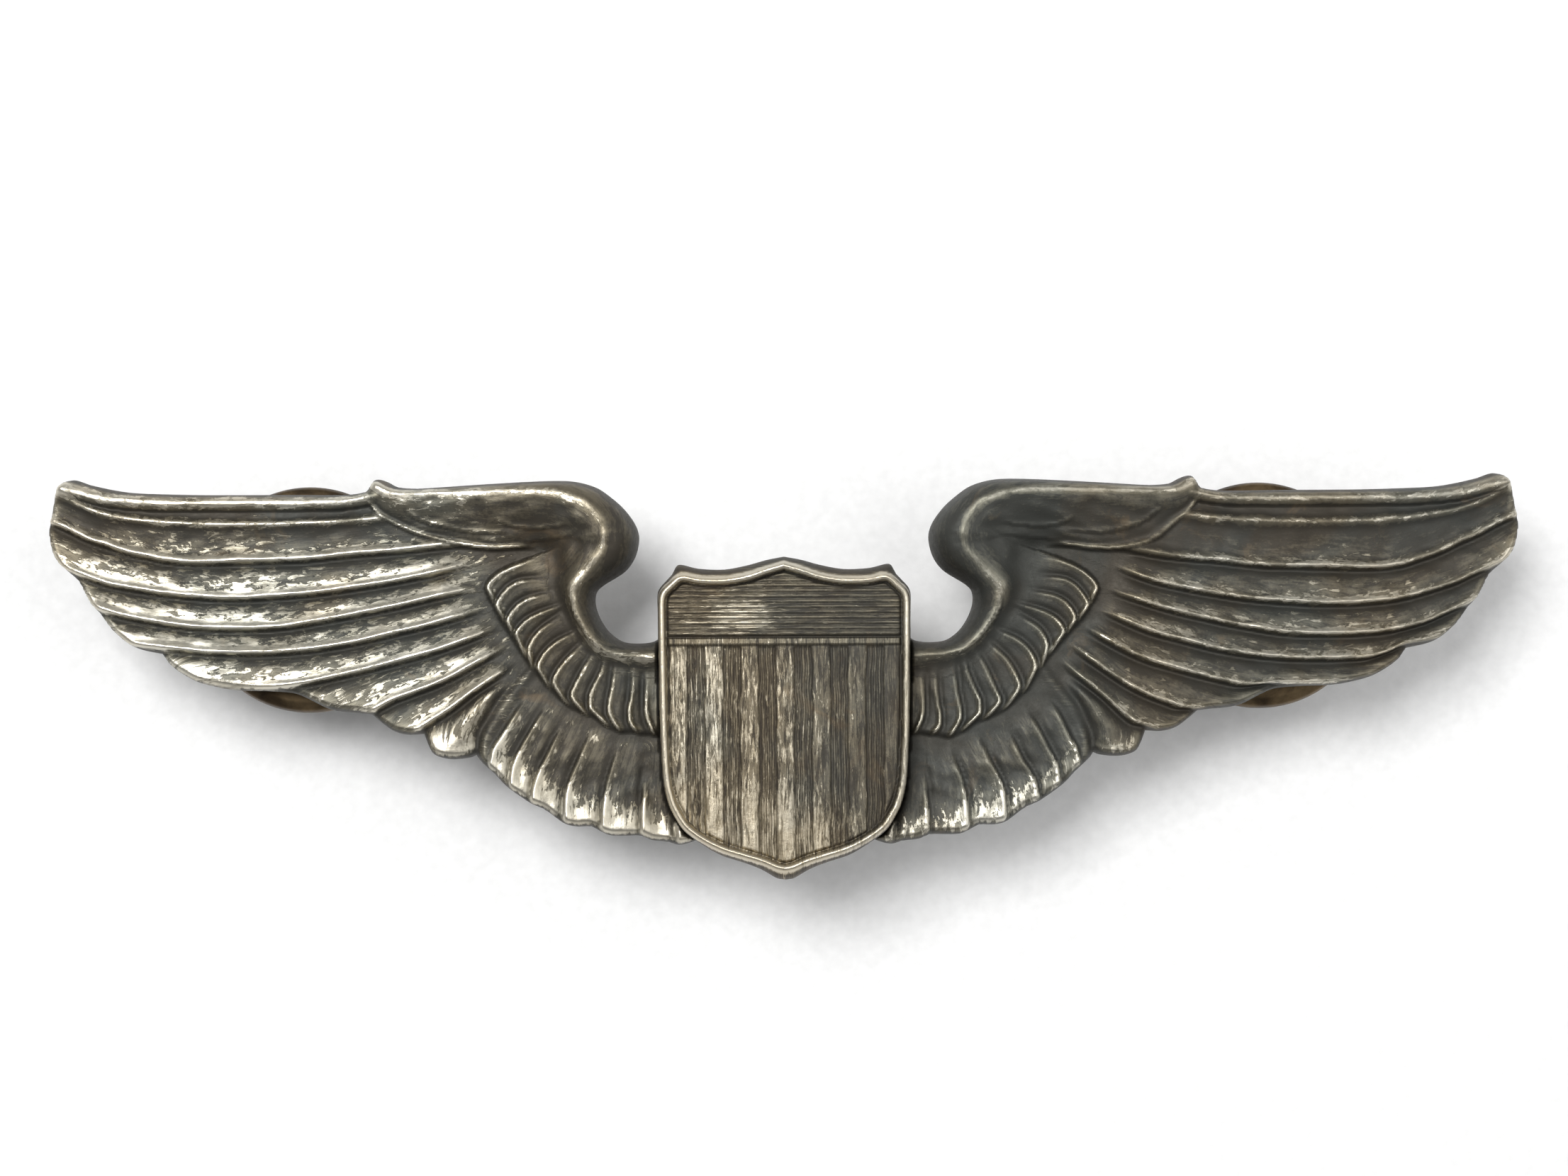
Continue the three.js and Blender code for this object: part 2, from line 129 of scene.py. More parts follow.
def field(P, line, before=0.0, after=0.0):
    """Signed distance of the points to a line (positive on its left), the place along it, and its length.
    The line is made longer at its start by before and at its end by after."""
    if before:
        d = line[0] - line[1]
        line = np.vstack([line[0] + d / np.linalg.norm(d) * before, line])
    if after:
        d = line[-1] - line[-2]
        line = np.vstack([line, line[-1] + d / np.linalg.norm(d) * after])
    best = np.full(len(P), 1e9)
    sign = np.ones(len(P))
    along = np.zeros(len(P))
    run = -before
    for a, b in zip(line[:-1], line[1:]):
        d = b - a
        length = np.sqrt(d @ d)
        q = P - a
        t = np.clip((q @ d) / (d @ d), 0, 1)
        r = q - t[:, None] * d
        away = np.hypot(r[:, 0], r[:, 1])
        near = away < best - 1e-9
        side = d[0] * q[:, 1] - d[1] * q[:, 0]
        best = np.where(near, away, best)
        sign = np.where(near, np.where(side >= 0, 1.0, -1.0), sign)
        along = np.where(near, run + t * length, along)
        run += length
    return best * sign, along, run - after


def inside(P, outline):
    x, y = P[:, 0], P[:, 1]
    within = np.zeros(len(P), bool)
    for a, b in zip(outline, np.roll(outline, -1, 0)):
        if a[1] == b[1]:
            continue
        crosses = (a[1] > y) != (b[1] > y)
        within ^= crosses & (x < (b[0] - a[0]) * (y - a[1]) / (b[1] - a[1]) + a[0])
    return within


def depth(P, outline):
    """Distance of the points to a closed outline, positive inside it."""
    away = np.abs(field(P, np.vstack([outline, outline[:1]]))[0])
    return np.where(inside(P, outline), away, -away)


def both_halves(half):
    """The right half of a closed outline, and its mirror image."""
    return np.vstack([half, half[::-1][1:-1] * [-1, 1]])


def turn_of(a, b, c):
    """Twice the signed area of triangles, positive where they run anticlockwise."""
    p, q = b - a, c - a
    return p[..., 0] * q[..., 1] - p[..., 1] * q[..., 0]

# ---------------- meshes


def new_object(name, vertices, faces, smooth_angle=None):
    """A mesh object from vertices in millimetres and faces of any size."""
    mesh = bpy.data.meshes.new(name)
    mesh.from_pydata([tuple(p) for p in np.asarray(vertices, float) * MM], [], faces)
    mesh.validate()
    mesh.update()
    piece = bpy.data.objects.new(name, mesh)
    bpy.context.scene.collection.objects.link(piece)
    mesh.shade_smooth()
    if smooth_angle is not None:
        mesh.set_sharp_from_angle(angle=math.radians(smooth_angle))
    return piece


def keep_smooth(mesh, count):
    """Takes the sharp marks off the edges between the first count vertices."""
    ends = np.empty(len(mesh.edges) * 2, np.int32)
    mesh.edges.foreach_get("vertices", ends)
    rim_highlight_and_groove_shade = mesh.attributes["sharp_edge"].data
    sharp = np.empty(len(mesh.edges), bool)
    rim_highlight_and_groove_shade.foreach_get("value", sharp)
    sharp[(ends.reshape(-1, 2) < count).all(1)] = False
    rim_highlight_and_groove_shade.foreach_set("value", sharp)


def attribute(piece, name, values, kind="FLOAT"):
    """Values for the points of a piece, for its material to read."""
    layer = piece.data.attributes.new(name, kind, "POINT")
    field_name = "value" if kind == "FLOAT" else "vector"
    layer.data.foreach_set(field_name, np.asarray(values, np.float32).ravel())


def grid_rim(cell, number):
    """The edges round the filled cells of a grid, as pairs of its points' numbers."""
    corners = [(0, 0), (1, 0), (1, 1), (0, 1)]
    neighbours = [(0, -1), (1, 0), (0, 1), (-1, 0)]
    padded = np.pad(cell, 1)
    rows, columns = padded.shape
    rim = set()
    for side, (di, dj) in enumerate(neighbours):
        p, q = corners[side], corners[(side + 1) % 4]
        bare = cell & ~padded[1 + di:rows - 1 + di, 1 + dj:columns - 1 + dj]
        for i, j in zip(*np.nonzero(bare)):
            rim.add((number[i + p[0], j + p[1]], number[i + q[0], j + q[1]]))
    return sorted(rim)


def stitched(points, outline_count, rim):
    """Triangles over the outline and the grid's rim, from the edges of both."""
    band = sorted({k for edge in rim for k in edge} | set(range(outline_count)))
    place = {k: n for n, k in enumerate(band)}
    edges = [(place[k], place[(k + 1) % outline_count]) for k in range(outline_count)]
    edges += [(place[a], place[b]) for a, b in rim]
    _, _, faces, origin, _, _ = delaunay_2d_cdt([Vector(points[k]) for k in band], edges, [], 0, 1e-9)
    back = [band[o[0]] if o else -1 for o in origin]
    return np.array([[back[k] for k in f] for f in faces if min(back[k] for k in f) >= 0])


def fill_outline(outline, du, dv, margin):
    """Points and faces that fill an outline: an even grid inside, stitched to the outline round it.
    The first len(outline) points are the outline."""
    low, high = outline.min(0), outline.max(0)
    columns = np.arange(math.ceil(low[0] / du), math.floor(high[0] / du) + 1)
    rows = np.arange(math.ceil(low[1] / dv), math.floor(high[1] / dv) + 1)
    U, V = np.meshgrid(columns * du, rows * dv, indexing="ij")
    P = np.stack([U.ravel(), V.ravel()], 1)
    keep = (depth(P, outline) > margin).reshape(U.shape)
    cell = keep[:-1, :-1] & keep[1:, :-1] & keep[:-1, 1:] & keep[1:, 1:]
    used = np.zeros(U.shape, bool)
    for a in (slice(None, -1), slice(1, None)):
        for b in (slice(None, -1), slice(1, None)):
            used[a, b] |= cell
    number = np.full(U.shape, -1)
    number[used] = np.arange(used.sum()) + len(outline)
    points = np.vstack([outline, P[used.ravel()]])
    i, j = np.nonzero(cell)
    quads = np.stack([number[i, j], number[i + 1, j], number[i + 1, j + 1], number[i, j + 1]], 1)

    triangles = stitched(points, len(outline), grid_rim(cell, number))
    centre = points[triangles].mean(1)
    i = np.floor(centre[:, 0] / du).astype(int) - columns[0]
    j = np.floor(centre[:, 1] / dv).astype(int) - rows[0]
    on_grid = (i >= 0) & (j >= 0) & (i < cell.shape[0]) & (j < cell.shape[1])
    in_cell = np.zeros(len(triangles), bool)
    in_cell[on_grid] = cell[i[on_grid], j[on_grid]]
    triangles = triangles[inside(centre, outline) & ~in_cell]
    reverse = turn_of(*(points[triangles[:, k]] for k in range(3))) < 0
    triangles[reverse] = triangles[reverse][:, ::-1]
    return points, quads.tolist() + triangles.tolist()


def flat_fill(points, start):
    """Triangles that fill a closed loop of points, facing down, numbered from start."""
    n = len(points)
    loop = [(k, (k + 1) % n) for k in range(n)]
    _, _, faces, origin, _, _ = delaunay_2d_cdt([Vector(p) for p in points], loop, [], 1, 1e-9)
    out = []
    for f in faces:
        t = [origin[k][0] for k in f]
        upward = turn_of(*(points[k] for k in t)) > 0
        out.append([start + k for k in (t[::-1] if upward else t)])
    return out


CHAMFER = 0.12
# The upright sides are painted a little darker, as painted shade.
WALL_PAINTED_SHADE = -0.1
BACK_TONE = -0.12
BACK_RUB = -0.4
BACK_GRAIN = 60  # keeps the pattern of the sides and back apart from the front's


def closed_relief(name, place, heights, faces, loop, back_z, rise_and_painted_light, tone, rub_and_painted_light, grain):
    """A closed body with a relief on top, upright sides and a flat back. place and the loop round it are
    in the badge's own millimetres; rise_and_painted_light, tone, rub_and_painted_light and grain steer the
    material."""
    ring = place[loop]
    if np.sum(ring[:, 0] * np.roll(ring[:, 1], -1) - np.roll(ring[:, 0], -1) * ring[:, 1]) < 0:
        loop = loop[::-1]
        ring = ring[::-1]
    n, total = len(loop), len(place)
    ahead = np.roll(ring, -1, 0) - np.roll(ring, 1, 0)
    outward = np.column_stack([ahead[:, 1], -ahead[:, 0]])
    outward /= np.linalg.norm(outward, axis=1)[:, None]
    foot = ring - outward * CHAMFER * 0.7
    levels = [(place, back_z + heights), (ring, np.full(n, back_z + CHAMFER)), (foot, np.full(n, back_z))]
    vertices = np.vstack([np.column_stack(level) for level in levels]) + [0, MIDDLE_Y, 0]
    sides = []
    for k in range(n):
        m = (k + 1) % n
        sides.append([loop[k], total + k, total + m, loop[m]])
        sides.append([total + k, total + n + k, total + n + m, total + m])
    piece = new_object(name, vertices, faces + sides + flat_fill(foot, total + n), 55)
    keep_smooth(piece.data, total)
    attribute(piece, "rise_and_painted_light", np.concatenate([rise_and_painted_light, np.full(n, WALL_PAINTED_SHADE), np.zeros(n)]))
    attribute(piece, "tone", np.concatenate([tone, tone[loop], np.full(n, BACK_TONE)]))
    attribute(piece, "rub_and_painted_light", np.concatenate([rub_and_painted_light, np.full(2 * n, BACK_RUB)]))
    flat = np.vstack([grain, ring + BACK_GRAIN, foot + BACK_GRAIN])
    attribute(piece, "grain", np.column_stack([flat, np.zeros(len(flat))]), "FLOAT_VECTOR")
    return piece


def blurred(grid, cells):
    """A grid smoothed by a round kernel of about that many cells."""
    reach = int(3 * cells)
    kernel = np.exp(-0.5 * (np.arange(-reach, reach + 1) / cells) ** 2)
    kernel /= kernel.sum()
    for axis in (0, 1):
        pad = [(reach, reach) if k == axis else (0, 0) for k in (0, 1)]
        padded = np.pad(grid, pad, mode="edge")
        grid = np.apply_along_axis(lambda row: np.convolve(row, kernel, "valid"), axis, padded)
    return grid


def sampled(grid, low, step, P):
    """Values of a grid at points, by the nearest four cells."""
    x = np.clip((P[:, 0] - low[0]) / step, 0, grid.shape[0] - 1.001)
    y = np.clip((P[:, 1] - low[1]) / step, 0, grid.shape[1] - 1.001)
    i, j = x.astype(int), y.astype(int)
    s, t = x - i, y - j
    return (grid[i, j] * (1 - s) * (1 - t) + grid[i + 1, j] * s * (1 - t)
            + grid[i, j + 1] * (1 - s) * t + grid[i + 1, j + 1] * s * t)


OUTSIDE_HEIGHT = 0.9  # what the surroundings past an outline count as


def rise_over_surroundings(height_at, outline, step):
    """How far a relief stands above its surroundings, near and wider, as a function of place."""
    low, high = outline.min(0) - 1, outline.max(0) + 1
    U, V = np.meshgrid(np.arange(low[0], high[0], step), np.arange(low[1], high[1], step), indexing="ij")
    P = np.stack([U.ravel(), V.ravel()], 1)
    H = np.where(inside(P, outline), height_at(P), OUTSIDE_HEIGHT).reshape(U.shape)
    rise = 1.5 * (H - blurred(H, 0.22 / step)) + 0.7 * (H - blurred(H, 0.7 / step))
    return lambda P: sampled(rise, low, step, P)

# ---------------- the relief of a wing

# Outline of one wing in millimetres from the badge's middle, from behind the shield round to its foot.
OUTLINE = [
    (0, 2.9), (6.2, 2.9), (6.5, 2.0), (7.2, 1.77), (8.28, 1.83), (9.03, 2.32), (9.52, 3.02), (9.78, 3.77),
    (9.73, 4.42), (9.35, 4.8), (8.27, 5.49), (7.73, 6.24), (7.52, 7.22), (7.73, 7.97), (8.38, 8.84),
    (9.4, 9.68), (10.0, 9.97), (10.8, 10.17), (11.63, 10.23), (13, 10.2), (15, 10.1), (17, 9.98), (19, 9.86),
    (20, 9.93), (20.5, 10.18), (20.92, 10.33), (21.25, 10.3), (21.42, 9.97), (21.67, 9.7), (22.7, 9.55),
    (26, 9.57), (30, 9.58), (33, 9.66), (34, 9.73), (35, 9.9), (36, 10.13), (36.87, 10.39), (37.5, 10.1),
    (37.8, 9.3), (37.95, 8.36), (38.1, 7.83), (37.95, 6.88), (37.7, 6.25), (37.3, 5.78), (36.56, 5.14),
    (36.24, 4.56), (35.87, 3.93), (35.45, 3.45), (35.03, 2.87), (34.5, 2.29), (33.87, 1.81), (33.24, 1.55),
    (32.2, 1.33), (31.77, 0.75), (31.14, 0.28), (30.3, -0.15), (29, -0.47), (28, -0.58), (26.7, -0.62),
    (25.3, -0.75), (24.4, -1.15), (23.7, -1.5), (23, -1.68), (22, -1.77), (21.35, -1.85), (20.75, -2.35),
    (20.2, -2.72), (19.5, -2.9), (18.65, -2.87), (18.43, -3.45), (18.16, -3.9), (17.6, -4.13), (17, -4.18),
    (16.3, -4.1), (15.95, -3.97), (15.8, -4.2), (15.4, -4.6), (15, -4.95), (14.5, -5.5), (13.9, -5.97),
    (13.1, -6.5), (12.5, -6.75), (12, -7.1), (11.4, -7.53), (10.8, -7.68), (10, -7.68), (9.6, -7.9),
    (9.0, -8.15), (8.0, -8.17), (7.43, -8.17), (6.9, -8.4), (6.0, -8.5), (5.5, -8.65), (4.8, -8.5),
    (4.2, -8.2), (0, -8.2),
]
CORNERS = {(6.2, 2.9), (32.2, 1.33), (21.35, -1.85), (18.65, -2.87), (15.95, -3.97), (4.2, -8.2)}
UPPER_RIB = [
    (38, 10.3), (36.9, 9.83), (36, 9.6), (35, 9.33), (34, 9.2), (32, 9.08), (30, 9.05), (26, 9.05),
    (22.7, 9.12), (21, 9.4),
]
LOWER_RIB = [
    (38, 9.7), (37, 9.4), (36.4, 9.08), (35.55, 8.7), (34, 8.32), (32, 8.1), (30, 8.0), (28, 7.97),
    (25, 8.02), (22, 8.15), (20.6, 8.3),
]
EDGES = [
    [(37.9, 7.93), (37.35, 7.7), (36, 7.02), (35, 6.7), (34, 6.35), (33, 6.13), (32, 5.9), (30, 5.76),
     (28, 5.83), (25, 5.9), (22, 6.19), (20, 6.33), (18, 6.53)],
    [(36.4, 5.25), (35, 4.73), (34, 4.52), (32, 4.2), (30, 3.99), (28, 3.93), (26, 4.03), (24, 4.2),
     (22, 4.46), (20, 4.78), (18, 5.18), (17, 5.44), (16.3, 5.66)],
    [(35.45, 3.46), (34, 3.03), (32, 2.65), (30, 2.42), (28, 2.37), (26, 2.43), (24, 2.72), (22, 3.08),
     (20, 3.47), (18, 3.93), (16, 4.38)],
    [(32.2, 1.42), (31, 1.3), (30, 1.17), (28, 1.1), (26, 1.14), (24, 1.32), (22, 1.65), (20, 2.1),
     (18, 2.57), (16, 3.15), (15.55, 3.3)],
    [(27, -0.75), (25, -0.5), (24, -0.33), (22, 0.1), (20, 0.6), (18, 1.14), (16, 1.85), (14.87, 2.33)],
    [(20.85, -1.77), (20, -1.33), (18, -0.6), (17, -0.15), (16, 0.4), (15, 0.97), (14.23, 1.5)],
    [(18.65, -2.83), (18, -2.4), (17, -1.77), (16, -1.0), (15, -0.32), (14.5, 0.05), (13.9, 0.6)],
    [(15.9, -3.97), (15.84, -3.0), (15.4, -2.1), (14.85, -1.2), (14.15, -0.3)],
]
SECONDARIES = [
    [(15.33, -4.5), (15.13, -3.57), (14.77, -3.0), (14.37, -2.33), (13.6, -1.17)],
    [(14.27, -5.7), (14.2, -4.8), (13.96, -3.97), (13.45, -3.03), (12.5, -1.5)],
    [(13.2, -6.4), (13.04, -5.4), (12.73, -4.6), (12.33, -3.8), (11.7, -2.57)],
    [(11.46, -7.4), (11.46, -6.25), (11.3, -5.43), (10.95, -4.53), (10.2, -2.9)],
    [(9.57, -7.9), (9.52, -6.7), (9.37, -5.67), (9.1, -4.65), (8.8, -3.65)],
    [(7.48, -8.3), (7.53, -7.2), (7.48, -6.2), (7.4, -5.2)],
    [(5.6, -8.6), (5.7, -7.2), (5.8, -6.2), (5.9, -5.0)],
]
COVERTS = [
    [(13.37, 6.12), (14.04, 5.87), (14.7, 5.55), (15.28, 5.05), (15.45, 4.65), (15.28, 4.23)],
    [(13.08, 5.2), (13.7, 5.12), (14.28, 4.8), (14.78, 4.22), (15.0, 3.73), (14.7, 3.1)],
    [(12.55, 4.42), (13.2, 4.25), (13.8, 3.9), (14.3, 3.3), (14.45, 2.88), (14.33, 2.6)],
    [(11.8, 3.8), (12.62, 3.5), (13.37, 3.1), (13.87, 2.57), (14.04, 2.23), (13.9, 1.9)],
    [(12.05, 3.03), (12.6, 2.65), (13.04, 2.15), (13.33, 1.57), (13.3, 1.0)],
    [(11.05, 2.4), (11.8, 2.0), (12.46, 1.4), (12.8, 0.83), (12.87, 0.4), (12.7, 0.1)],
    [(10.8, 1.57), (11.4, 0.98), (11.88, 0.32), (12.08, -0.25), (11.8, -0.83)],
    [(10.2, 1.0), (10.6, 0.33), (10.95, -0.37), (11.15, -1.0), (10.7, -1.65)],
    [(9.47, 1.03), (9.57, 0.43), (9.93, -0.28), (10.18, -0.9), (10.18, -1.6), (9.93, -1.93)],
    [(8.95, 0.3), (9.06, -0.5), (9.2, -1.2), (9.2, -1.93), (8.86, -2.55)],
    [(8.0, 0.1), (8.04, -0.8), (8.2, -1.73), (8.14, -2.35), (7.94, -2.7)],
    [(7.3, -0.3), (7.33, -1.33), (7.27, -2.15), (7.0, -2.78)],
]
COVERT_LOW = [
    (14.6, 6.3), (15.6, 4.9), (15.45, 4.15), (15.07, 3.57), (14.6, 2.87), (13.95, 1.88), (13.37, 0.97),
    (12.7, 0.07), (11.67, -1.03), (10.8, -1.7), (9.93, -2.05), (8.76, -2.77), (7.94, -2.85), (7.0, -3.0),
    (5.5, -3.1),
]
CREST = [
    (21.1, 10.0), (20.35, 9.6), (19.5, 9.5), (18, 9.5), (14, 9.55), (12.46, 9.5), (11.63, 9.4),
    (10.8, 9.15), (10.14, 8.8), (9.64, 8.35), (9.3, 7.8), (9.2, 7.1), (9.4, 6.4), (10.1, 5.5), (10.8, 4.5),
    (10.85, 3.53), (10.5, 2.7), (10.0, 1.95), (9.4, 1.4), (8.6, 1.1), (7.6, 1.0), (5.8, 0.9),
]
CREST_HEIGHT = [
    (0, 1.9), (2, 2.25), (6, 2.55), (9, 2.75), (11, 2.9), (13, 2.85), (15, 2.6), (17, 2.38), (19, 2.12),
    (22, 1.92), (30, 1.85),
]
SLEEVE = [
    (21.6, 9.3), (21.2, 8.6), (20.75, 8.2), (20, 7.8), (19, 7.35), (18, 7.05), (17, 6.83), (16, 6.65),
    (15, 6.57), (14, 6.6), (13, 6.65), (12.3, 6.3), (12.1, 5.6), (12.2, 4.9), (12.0, 4.0), (11.6, 3.2),
    (11.1, 2.3), (10.5, 1.3), (9.6, 0.6), (8.6, 0.2), (7.4, 0.0), (5.8, 0.0),
]
SLEEVE_FOLDS = [
    [(19.6, 8.6), (18.6, 8.05), (17.35, 7.72), (16.36, 7.52), (15.36, 7.44), (14.0, 7.42)],
    [(14.9, 8.15), (14.2, 7.83), (13.37, 7.66), (12.05, 7.67), (10.9, 7.85)],
]

GROUND = 1.08         # the sheet between the feathers, over the flat back
COVERT_GROUND = 1.5   # the same below the scales and the sleeve
EDGE_HEIGHT = 0.5
EDGE_ROUND = 0.36


class Relief:
    """A wing's relief over some points: the height over the flat back, coordinates that follow the
    strokes, painted highlight and shade (rims and crests lighter, partly as worn silver, and lines under
    steps and in clefts darker), and how likely bright flakes are, with painted light mixed in."""

    def __init__(self, P):
        self.height = np.full(len(P), GROUND)
        self.grain = P.copy()
        self.shade = np.zeros(len(P))
        self.rub_and_painted_light = np.zeros(len(P))

    def form(self, here, height):
        self.height = np.where(here, height, self.height)

    def lay(self, here, along, across, shade, rub_and_painted_light):
        """Sets the strokes, the painted shade and highlight, and the likelihood of flakes of some of the
        points.
        """
        self.grain = np.where(here[:, None], np.stack([along, across], 1), self.grain)
        self.shade = np.where(here, shade, self.shade)
        self.rub_and_painted_light = np.where(here, rub_and_painted_light, self.rub_and_painted_light)


def long_feathers(relief, D, edges, order):
    """Each long feather rises to a rim along its lower edge and steps down to the next. The last one is
    a plain lobe."""
    last = len(edges) - 1
    for i in range(1, last + 1):
        here = order == i
        lower, along, length = edges[i]
        a, b = np.abs(edges[i - 1][0]), np.abs(lower)
        t = share(a, b)
        if i < last:
            body = (0.36 + 0.022 * swell(along * 0.6, b * 1.5 + i)) * (1 - np.exp(-a / 0.4)) + 0.16 * t
            height = (body + 0.10 * line_of(b, 0.3, 0.17)) * smooth(0, 0.3, b)
            # A painted highlight along the rim, in part worn silver.
            bright = 0.34 * line_of(b, 0.24, 0.16)
            worn = line_of(b, 0.5, 0.3)
        else:
            lobe = np.sin(np.pi * np.clip(t, 0, 1))
            height = 0.4 * lobe ** 0.8
            # A painted highlight along the lobe's outline.
            bright = 0.22 * line_of(D, 0.7, 0.4)
            worn = 0.7 * lobe + 0.6 * line_of(D, 0.6, 0.4)
        fade = smooth(-0.4, 1.6, length - along)
        relief.form(here, GROUND + height * fade)
        # The dark line along the upper edge is a painted shadow under the step of the feather above.
        relief.lay(here, along, b, (bright - 0.16 * line_of(a, 0, 0.28)) * fade, worn * fade)


def leading_edge(relief, P, first_edge, here):
    """The sheet above the first long feather, with two ribs along the leading edge."""
    b = np.abs(first_edge[0])
    upper, lower = field(P, spline(UPPER_RIB))[0], field(P, spline(LOWER_RIB))[0]
    sheet = GROUND + (0.3 + 0.22 * line_of(b, 0.3, 0.3)) * smooth(0, 0.3, b)
    ribs = np.maximum(0.5 * dome(upper / 0.42), 0.24 * line_of(lower, 0, 0.2))
    height = sheet + ribs + 0.1 * smooth(0.9, 0.1, np.abs(lower)) + 0.015 * swell(P[:, 0] * 0.7, b * 1.5)
    relief.form(here, height)
    # Painted highlights along the sheet's edge and the two ribs' crests, in part worn silver, and painted
    # shade at the ribs' feet.
    bright = 0.30 * line_of(b, 0.24, 0.16) + 0.30 * line_of(upper, 0, 0.18) + 0.28 * line_of(lower, 0, 0.15)
    dark = 0.14 * line_of(np.abs(upper), 0.42, 0.14) + 0.10 * line_of(lower, 0.34, 0.15)
    worn = line_of(b, 0.45, 0.3) + line_of(upper, 0, 0.2) + line_of(lower, -0.08, 0.22)
    relief.lay(here, first_edge[1], b, bright - dark, worn)


def short_feathers(relief, D, lines, last_edge, here):
    """The short feathers between the scales and the lower outline, each stepping down to the next."""
    place = np.zeros(len(D), int)
    for i, (d, _, _) in enumerate(lines):
        place = np.where(d > 0, i + 1, place)
    base = GROUND + 0.1 + 0.22 * smooth(2.2, 0.2, D)
    height = np.where(place == 0, base + 0.1 * smooth(0, 0.5, np.abs(lines[0][0])), base)
    for i, (d, along, length) in enumerate(lines):
        mine = here & (place == i + 1)
        a = np.abs(d)
        b = np.abs(lines[i + 1][0]) if i + 1 < len(lines) else np.full(len(D), 1.0)
        fade = smooth(length + 0.6, length - 1.2, along)
        cleft = line_of(b, 0, 0.2)
        rim = (0.16 + 0.14 * (1 - share(a, b)) ** 1.5 + 0.06 * line_of(a, 0.24, 0.17)) * smooth(0, 0.2, a)
        rim = rim + 0.03 * swell(along * 0.8, a * 1.4 + i) * smooth(0, 0.3, a) * smooth(0, 0.3, b)
        rim = rim - cleft * (0.1 + 0.16 * (1 - smooth(0, 0.2, a)))
        height = np.where(mine, base + rim * fade, height)
        # A painted highlight along each feather's rim and painted shade in the cleft where it meets the next.
        rim_highlight_and_groove_shade = 0.14 * line_of(a, 0.26, 0.15) * smooth(0.2, 1.5, D) - 0.24 * cleft
        worn = smooth(3.0, 0.9, D) + 0.4 * line_of(a, 0.3, 0.25) * fade - 0.2
        relief.lay(mine, along, a, rim_highlight_and_groove_shade * fade, worn)
    height = GROUND + (height - GROUND) * smooth(0, 0.5, np.abs(last_edge))
    relief.form(here, height)


def coverts(relief, P):
    """The coverts: overlapping scales, each with a rim that stands up."""
    lowest, _, _ = field(P, spline(COVERT_LOW), 0, 3)
    lines = [field(P, spline(c), 1.5, 0.8) for c in COVERTS]
    place = np.zeros(len(P), int)
    for i, (d, _, _) in enumerate(lines):
        place = np.where(d < 0, i + 1, place)
    height = np.full(len(P), COVERT_GROUND)
    for i, (d, along, length) in enumerate(lines):
        mine = place == i + 1
        a = np.abs(d)
        b = np.abs(lines[i + 1][0]) if i + 1 < len(lines) else np.full(len(P), 0.8)
        near_tip = smooth(0.0, 1.0, along / length)
        fade = smooth(-1.0, 0.7, along)
        rim = (0.05 + 0.2 * near_tip) * line_of(a, 0.2, 0.13) + 0.14 * (1 - share(a, b))
        dip = 0.12 * line_of(np.minimum(a, b), 0, 0.13)
        height = np.where(mine, COVERT_GROUND + (rim * smooth(0, 0.2, a) - dip) * fade, height)
        # A painted highlight along each scale's rim, brightest near its tip, the rest of the scale a little
        # darker, and painted shade along the groove at the scales' lower boundary.
        rim_highlight_and_groove_shade = (0.10 + 0.32 * near_tip) * line_of(a, 0.2, 0.14) - 0.12 * smooth(0.2, 0.7, a)
        rim_highlight_and_groove_shade = rim_highlight_and_groove_shade - 0.3 * line_of(lowest, -0.1, 0.2) * smooth(0.25, 0.6, a)
        worn = 0.7 * near_tip * line_of(a, 0.2, 0.16) - 0.5
        relief.lay((lowest < 0) & mine, along, a, rim_highlight_and_groove_shade * fade, worn)
    scales = GROUND + (height - GROUND) * dome(1 - np.clip(-lowest / 0.3, 0, 1))
    relief.form((lowest < 0) & (place > 0), np.maximum(relief.height, scales))


def sleeve_side(P, along, crest, from_crest, from_sleeve, top, free):
    """Heights of the arm from its crest in to the sleeve's edge, which stands free of the feathers in
    part, with the folds in it."""
    t = share(from_sleeve, from_crest)
    foot = COVERT_GROUND + 0.12 * free
    height = foot + (top - foot) * (0.35 * np.sin(np.pi / 2 * t) + 0.65 * smooth(0, 1, t))
    height = height + free * (0.1 * line_of(from_sleeve, 0.13, 0.1) - 0.08 * line_of(from_sleeve, 0.38, 0.14))
    for fold in SLEEVE_FOLDS:
        f, place, length = field(P, spline(fold))
        ends = smooth(0, 0.7, place) * smooth(length, length - 0.9, place)
        height = height + ends * np.where(f > 0, -0.10 * line_of(f, 0, 0.3), 0.12 * line_of(f, 0, 0.16))
    uneven = swell(along * 0.9, crest * 1.3)
    return height + 0.045 * uneven * smooth(0.1, 0.7, from_sleeve) * smooth(0.1, 0.6, from_crest)


